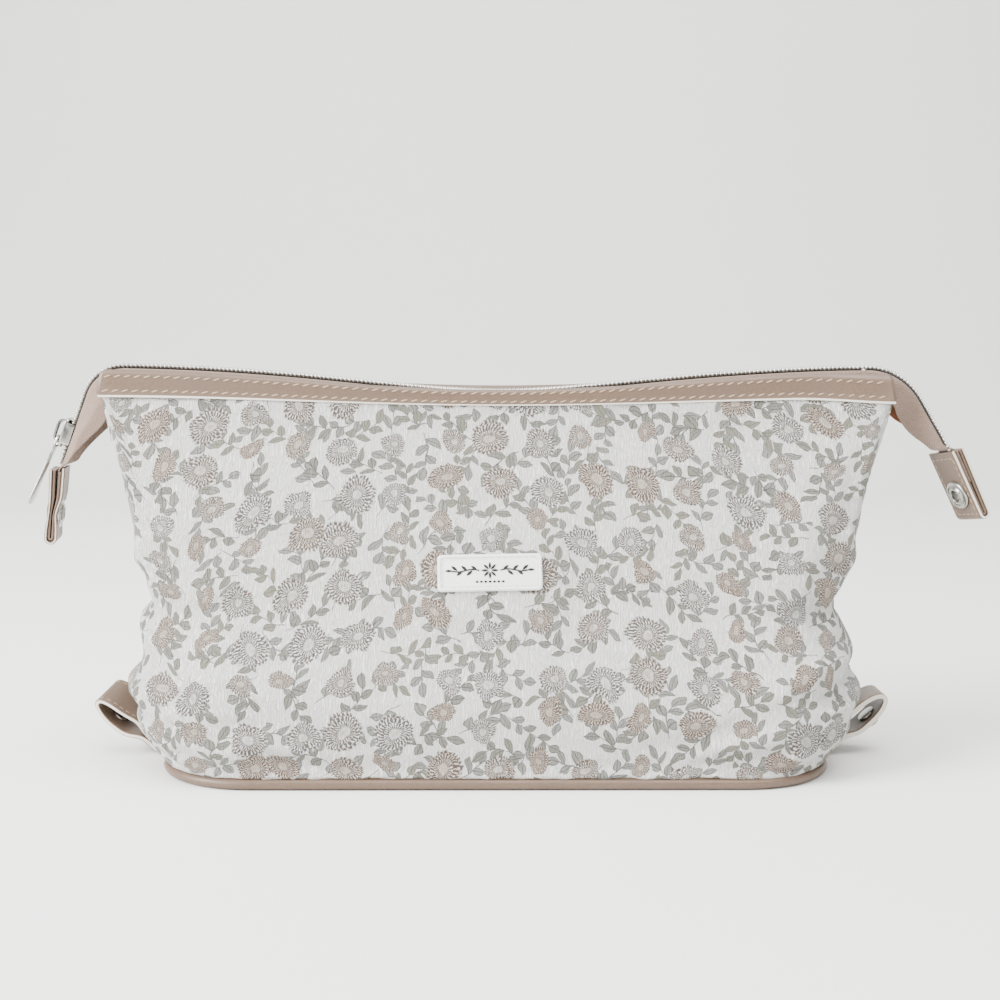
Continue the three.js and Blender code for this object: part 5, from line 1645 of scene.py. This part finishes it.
def make_label():
    """The rubber patch: a raised border, an inner sewing line and a plain emblem of a blossom and sprigs."""
    lean = np.arctan2(FOLD_DEPTH / 2 - PANEL_TOP, BAG_HEIGHT - BAND_HEIGHT - FOLD_HEIGHT)
    up = np.array([0, np.sin(lean), np.cos(lean)])
    out = np.array([0, -np.cos(lean), np.sin(lean)])
    roll = np.radians(1.2)
    right = np.array([np.cos(roll), 0, 0]) + up * np.sin(roll)
    above = np.cross(out, right)
    axes = np.stack([right, above, out])
    place = np.array([LABEL_X, -float(half_depth(LABEL_Z)), LABEL_Z]) + out * 0.05
    half_x, half_y = LABEL_LENGTH / 2, LABEL_HEIGHT / 2
    plate = slab(resampled(rounded_rectangle(half_x, half_y, 1.2, 6), 1.0, True), 0.0, 1.1, 0.35)
    rim = []
    for inset, radius, height in ((0.7, 0.55, 1.15), (1.75, 0.22, 1.12)):
        path = resampled(rounded_rectangle(half_x - inset, half_y - inset, 1.0, 6), 0.7, True)
        line = np.column_stack([path, np.full(len(path), height)])
        rim.append(tube(line, radius, 8, (0, 0, 1), endless=True, flatten=0.7))
    rubber = moved(together(plate, *rim), axes, place)
    piece("label_rubber", rubber, "rubber", "white_rubber", FRONT_FLAP, ["label"])
    path = resampled(rounded_rectangle(half_x - 1.25, half_y - 1.25, 0.9, 6), 2.4, True)
    along = unit(np.roll(path, -1, 0) - np.roll(path, 1, 0))
    places = np.column_stack([path, np.full(len(path), 1.3)])
    level = np.tile([0.0, 0.0, 1.0], (len(path), 1))
    sewn = stitches(places, np.column_stack([along, 0 * along[:, 0]]), level, 1.6, 0.34, 0.0, 0.05)
    piece("label_stitching", moved(sewn, axes, place), "white_thread", "white_rubber", FRONT_FLAP)

    def lens(length, width, at, angle):
        """A leaf between two arcs, laid at a place and an angle."""
        t = np.linspace(0, 1, 13)
        arc = 2 * width * t * (1 - t)
        outline = two_arcs(t * length, arc)
        c, s = np.cos(angle), np.sin(angle)
        return slab(outline @ np.array([[c, s], [-s, c]]) + at, 1.05, 1.35, 0.08, 1)

    marks = []
    for k in range(8):
        a = k * np.pi / 4
        marks.append(lens(2.5, 0.85, np.array([0.5 * np.cos(a), 0.5 * np.sin(a) + 0.7]), a))
    for hand in (-1, 1):
        wave = 0.7 + 0.4 * np.sin(np.linspace(0, 2 * np.pi, 12))
        stem = np.column_stack([hand * np.linspace(3.6, 13.6, 12), wave, np.full(12, 1.15)])
        marks.append(tube(stem, 0.26, 6, (0, 0, 1)))
        for x, turn in ((4.4, 0.7), (6.0, -0.7), (7.8, 0.7), (9.4, -0.7), (11.2, 0.7)):
            angle = turn if hand > 0 else np.pi - turn
            marks.append(lens(2.7, 1.0, np.array([hand * x, 0.7]), angle))
        marks.append(lens(2.4, 0.9, np.array([hand * 13.0, 0.7]), 0 if hand > 0 else np.pi))
    for x in np.linspace(-4.5, 4.5, 7):
        marks.append(lens(1.1, 0.8, np.array([x - 0.55, -3.3]), 0.0))
    piece("label_emblem", moved(together(*marks), axes, place), "ink", "white_rubber", FRONT_FLAP)


# ---- Stage ----


def make_stage(settings):
    """A pale floor that curves up behind the bag, soft lights and the camera."""
    scene = bpy.context.scene
    t = np.linspace(0, 1, 40)
    y = np.concatenate([np.linspace(-3.0, 0.9, 10), 0.9 + 0.8 * np.sin(t * np.pi / 2), [1.7]])
    z = np.concatenate([np.zeros(10), 0.8 * (1 - np.cos(t * np.pi / 2)), [3.0]])
    x = np.linspace(-4, 4, 5)
    level = np.repeat(x[:, None], len(y), 1)
    grid = np.stack([level, np.repeat(y[None], len(x), 0), np.repeat(z[None], len(x), 0)], -1)
    points, faces, _ = open_shape(grid)
    mesh = bpy.data.meshes.new("floor")
    mesh.from_pydata(points.tolist(), [], faces[0].tolist())
    mesh.materials.append(pale_floor(scene.bag_colours))
    mesh.polygons.foreach_set("use_smooth", np.ones(len(mesh.polygons), bool))
    floor = bpy.data.objects.new("floor", mesh)
    scene.collection.objects.link(floor)
    for name, place, aim, size, power in (
        ("window_light", (-1.1, -0.55, 0.75), (0, 0, 0.07), 0.7, settings.window_power),
        ("ceiling_light", (0.2, -0.2, 1.7), (0, 0, 0.05), 1.6, settings.ceiling_power),
        ("fill_light", (1.3, -0.9, 0.6), (0, 0, 0.08), 1.2, settings.fill_power),
    ):
        light = bpy.data.lights.new(name, "AREA")
        light.energy, light.size, light.shape = power, size, "SQUARE"
        lamp = bpy.data.objects.new(name, light)
        lamp.location = place
        lamp.rotation_euler = (Vector(aim) - Vector(place)).to_track_quat("-Z", "Y").to_euler()
        scene.collection.objects.link(lamp)
    world = bpy.data.worlds.new("studio")
    world.use_nodes = True
    background = world.node_tree.nodes["Background"]
    background.inputs[0].default_value = (*linear(scene.bag_colours.sky), 1)
    background.inputs[1].default_value = settings.sky_strength
    scene.world = world
    camera = bpy.data.cameras.new("camera")
    camera.lens, camera.sensor_width = settings.lens, 36
    seen = bpy.data.objects.new("camera", camera)
    seen.location = settings.camera_place
    seen.rotation_euler = (np.radians(90) - settings.camera_down, settings.camera_roll, settings.camera_turn)
    camera.shift_x, camera.shift_y = settings.shift[:]
    camera.clip_start = 0.01
    scene.collection.objects.link(seen)
    scene.camera = seen


# ---- The add-on ----


def length_size(label, text, default):
    """A size in metres."""
    return FloatProperty(name=label, description=text, default=default, unit="LENGTH", subtype="DISTANCE")


def light_power(label, text, default):
    """A lamp's power in watts."""
    return FloatProperty(name=label, description=text, default=default, unit="POWER")


def camera_angle(label, text, default):
    """An angle in radians."""
    return FloatProperty(name=label, description=text, default=default, subtype="ANGLE")


def colour(label, text, default):
    """A colour as it is picked on the screen."""
    return FloatVectorProperty(
        name=label, description=text, default=default, subtype="COLOR_GAMMA", size=3, min=0, max=1
    )


class BagShape(bpy.types.PropertyGroup):
    """Sizes of the bag's sewing and cloth."""

    cloth_thickness: length_size("Cloth thickness", "Thickness of the printed walls", 0.0012)
    lining_thickness: length_size("Lining thickness", "Thickness of the lining", 0.0008)
    most_move: length_size("Cloth movement", "The furthest that the settled cloth may move", 0.0024)
    stitch_pitch: length_size("Band stitch", "Distance from stitch to stitch on the bands", 0.0035)
    tab_stitch_pitch: length_size("Tab stitch", "Distance from stitch to stitch on tabs and loops", 0.0026)
    tooth_pitch: length_size("Tooth pitch", "Distance from tooth to tooth of the zip", 0.0015)
    slack: FloatProperty(name="Slack", description="The cloth's extra size over its frame", default=0.012)
    seed: IntProperty(name="Seed", description="Picks the way the cloth creases", default=4)


class BagColours(bpy.types.PropertyGroup):
    """Colours of the bag and its stage."""

    cloth: colour("Cloth", "Ground of the printed cloth", (0.905, 0.9, 0.885))
    cloth_groove: colour("Cloth groove", "Shade in the cloth's crinkles", (0.36, 0.355, 0.34))
    leaf: colour("Leaf", "Grey leaves", (0.43, 0.43, 0.385))
    leaf_green: colour("Green leaf", "Grey-green leaves", (0.43, 0.42, 0.335))
    leaf_line: colour("Leaf line", "Outlines of leaves and stems", (0.06, 0.058, 0.045))
    petal_grey: colour("Grey petal", "Taupe petals", (0.12, 0.064, 0.029))
    petal_rose: colour("Rose petal", "Rose-beige petals", (0.2, 0.082, 0.03))
    petal_under: colour("Petal ground", "Ground under the petals", (0.78, 0.7, 0.61))
    leather: colour("Leather", "Leather-look trim", (0.41, 0.335, 0.28))
    piping: colour("Piping", "Rounded base trim", (0.4, 0.325, 0.27))
    edge: colour("Raw edge", "Cut edges of the trim", (0.88, 0.845, 0.8))
    tape: colour("Tape", "Zip tape", (0.5, 0.42, 0.37))
    lining: colour("Lining", "Lining cloth", (0.5, 0.29, 0.14))
    metal: colour("Metal", "Slider, pull and snaps", (0.66, 0.655, 0.63))
    coil: colour("Coil", "Zip coil", (0.8, 0.8, 0.78))
    rubber: colour("Rubber", "Label", (0.95, 0.95, 0.94))
    thread: colour("Thread", "Stitching", (0.68, 0.59, 0.49))
    floor: colour("Floor", "Studio floor", (0.93, 0.93, 0.92))
    sky: colour("Light", "Light from all round", (1.0, 1.0, 0.99))


class StageSettings(bpy.types.PropertyGroup):
    """Lights and camera."""

    window_power: light_power("Window", "Power of the light from the left", 66)
    ceiling_power: light_power("Ceiling", "Power of the light above", 64)
    fill_power: light_power("Fill", "Power of the light from the right", 7)
    sky_strength: FloatProperty(name="Surround", description="Light from all round", default=0.75)
    lens: FloatProperty(name="Lens", description="Focal length in millimetres", default=54.0)
    camera_place: FloatVectorProperty(
        name="Camera place",
        description="Where the camera stands",
        default=(-0.0058, -0.5434, 0.1493),
        subtype="TRANSLATION",
    )
    camera_down: camera_angle("Look down", "Camera's tilt", 0.1034)
    camera_turn: camera_angle("Turn", "Camera's turn to the left", -0.0128)
    camera_roll: camera_angle("Roll", "Camera's roll", -0.003)
    shift: FloatVectorProperty(name="Shift", description="Lens shift", default=(0.0, 0.0), size=2)


class BAG_OT_walls(bpy.types.Operator):
    """Make the printed walls and the lining"""

    bl_idname = "makeup_bag.walls"
    bl_label = "Walls and lining"

    def execute(self, context):
        make_walls(context.scene.bag_shape)
        return {"FINISHED"}


class BAG_OT_base(bpy.types.Operator):
    """Make the leather base and its trim"""

    bl_idname = "makeup_bag.base"
    bl_label = "Base"

    def execute(self, context):
        make_base()
        return {"FINISHED"}


class BAG_OT_bands(bpy.types.Operator):
    """Make the bands and the wires inside them"""

    bl_idname = "makeup_bag.bands"
    bl_label = "Bands"

    def execute(self, context):
        make_bands(context.scene.bag_shape)
        return {"FINISHED"}


class BAG_OT_mouth_zip(bpy.types.Operator):
    """Make the zip along the mouth"""

    bl_idname = "makeup_bag.mouth_zip"
    bl_label = "Mouth zip"

    def execute(self, context):
        make_mouth_zip(context.scene.bag_shape)
        return {"FINISHED"}


class BAG_OT_tails(bpy.types.Operator):
    """Make both ends of the zip"""

    bl_idname = "makeup_bag.tails"
    bl_label = "Zip tails"

    def execute(self, context):
        make_tails(context.scene.bag_shape)
        return {"FINISHED"}


class BAG_OT_gusset(bpy.types.Operator):
    """Make the lining that shows at the right end"""

    bl_idname = "makeup_bag.gusset"
    bl_label = "Gusset"

    def execute(self, context):
        make_gusset()
        return {"FINISHED"}


class BAG_OT_slider(bpy.types.Operator):
    """Make the slider and its pull"""

    bl_idname = "makeup_bag.slider"
    bl_label = "Slider"

    def execute(self, context):
        make_slider()
        return {"FINISHED"}


class BAG_OT_tabs(bpy.types.Operator):
    """Make the tabs on the zip's ends"""

    bl_idname = "makeup_bag.tabs"
    bl_label = "Tabs"

    def execute(self, context):
        make_tabs(context.scene.bag_shape)
        return {"FINISHED"}


class BAG_OT_loops(bpy.types.Operator):
    """Make the loops at the sides"""

    bl_idname = "makeup_bag.loops"
    bl_label = "Loops"

    def execute(self, context):
        make_loops(context.scene.bag_shape)
        return {"FINISHED"}


class BAG_OT_label(bpy.types.Operator):
    """Make the rubber label"""

    bl_idname = "makeup_bag.label"
    bl_label = "Label"

    def execute(self, context):
        make_label()
        return {"FINISHED"}


class BAG_OT_stage(bpy.types.Operator):
    """Make the floor, the lights and the camera"""

    bl_idname = "makeup_bag.stage"
    bl_label = "Stage"

    def execute(self, context):
        make_stage(context.scene.bag_stage)
        return {"FINISHED"}


OPERATORS = [
    BAG_OT_walls,
    BAG_OT_base,
    BAG_OT_bands,
    BAG_OT_mouth_zip,
    BAG_OT_tails,
    BAG_OT_gusset,
    BAG_OT_slider,
    BAG_OT_tabs,
    BAG_OT_loops,
    BAG_OT_label,
    BAG_OT_stage,
]


class BAG_PT_panel(bpy.types.Panel):
    """The makeup bag's pieces, sizes and colours."""

    bl_label = "Makeup Bag"
    bl_idname = "BAG_PT_panel"
    bl_space_type = "VIEW_3D"
    bl_region_type = "UI"
    bl_category = "Makeup Bag"

    def draw(self, context):
        layout = self.layout
        for kind in OPERATORS:
            layout.operator(kind.bl_idname)
        for group in (context.scene.bag_shape, context.scene.bag_colours, context.scene.bag_stage):
            box = layout.box()
            for label in group.__annotations__:
                box.prop(group, label)


CLASSES = [BagShape, BagColours, StageSettings, *OPERATORS, BAG_PT_panel]


def register():
    """Adds the classes and the scene's groups of settings."""
    for kind in CLASSES:
        bpy.utils.register_class(kind)
    bpy.types.Scene.bag_shape = PointerProperty(type=BagShape)
    bpy.types.Scene.bag_colours = PointerProperty(type=BagColours)
    bpy.types.Scene.bag_stage = PointerProperty(type=StageSettings)


def unregister():
    """Takes away what register added."""
    for label in ("bag_stage", "bag_colours", "bag_shape"):
        delattr(bpy.types.Scene, label)
    for kind in reversed(CLASSES):
        bpy.utils.unregister_class(kind)


def main():
    """Makes every piece in order."""
    register()
    for kind in OPERATORS:
        getattr(bpy.ops.makeup_bag, kind.bl_idname.split(".")[1])()


if __name__ == "__main__":
    main()
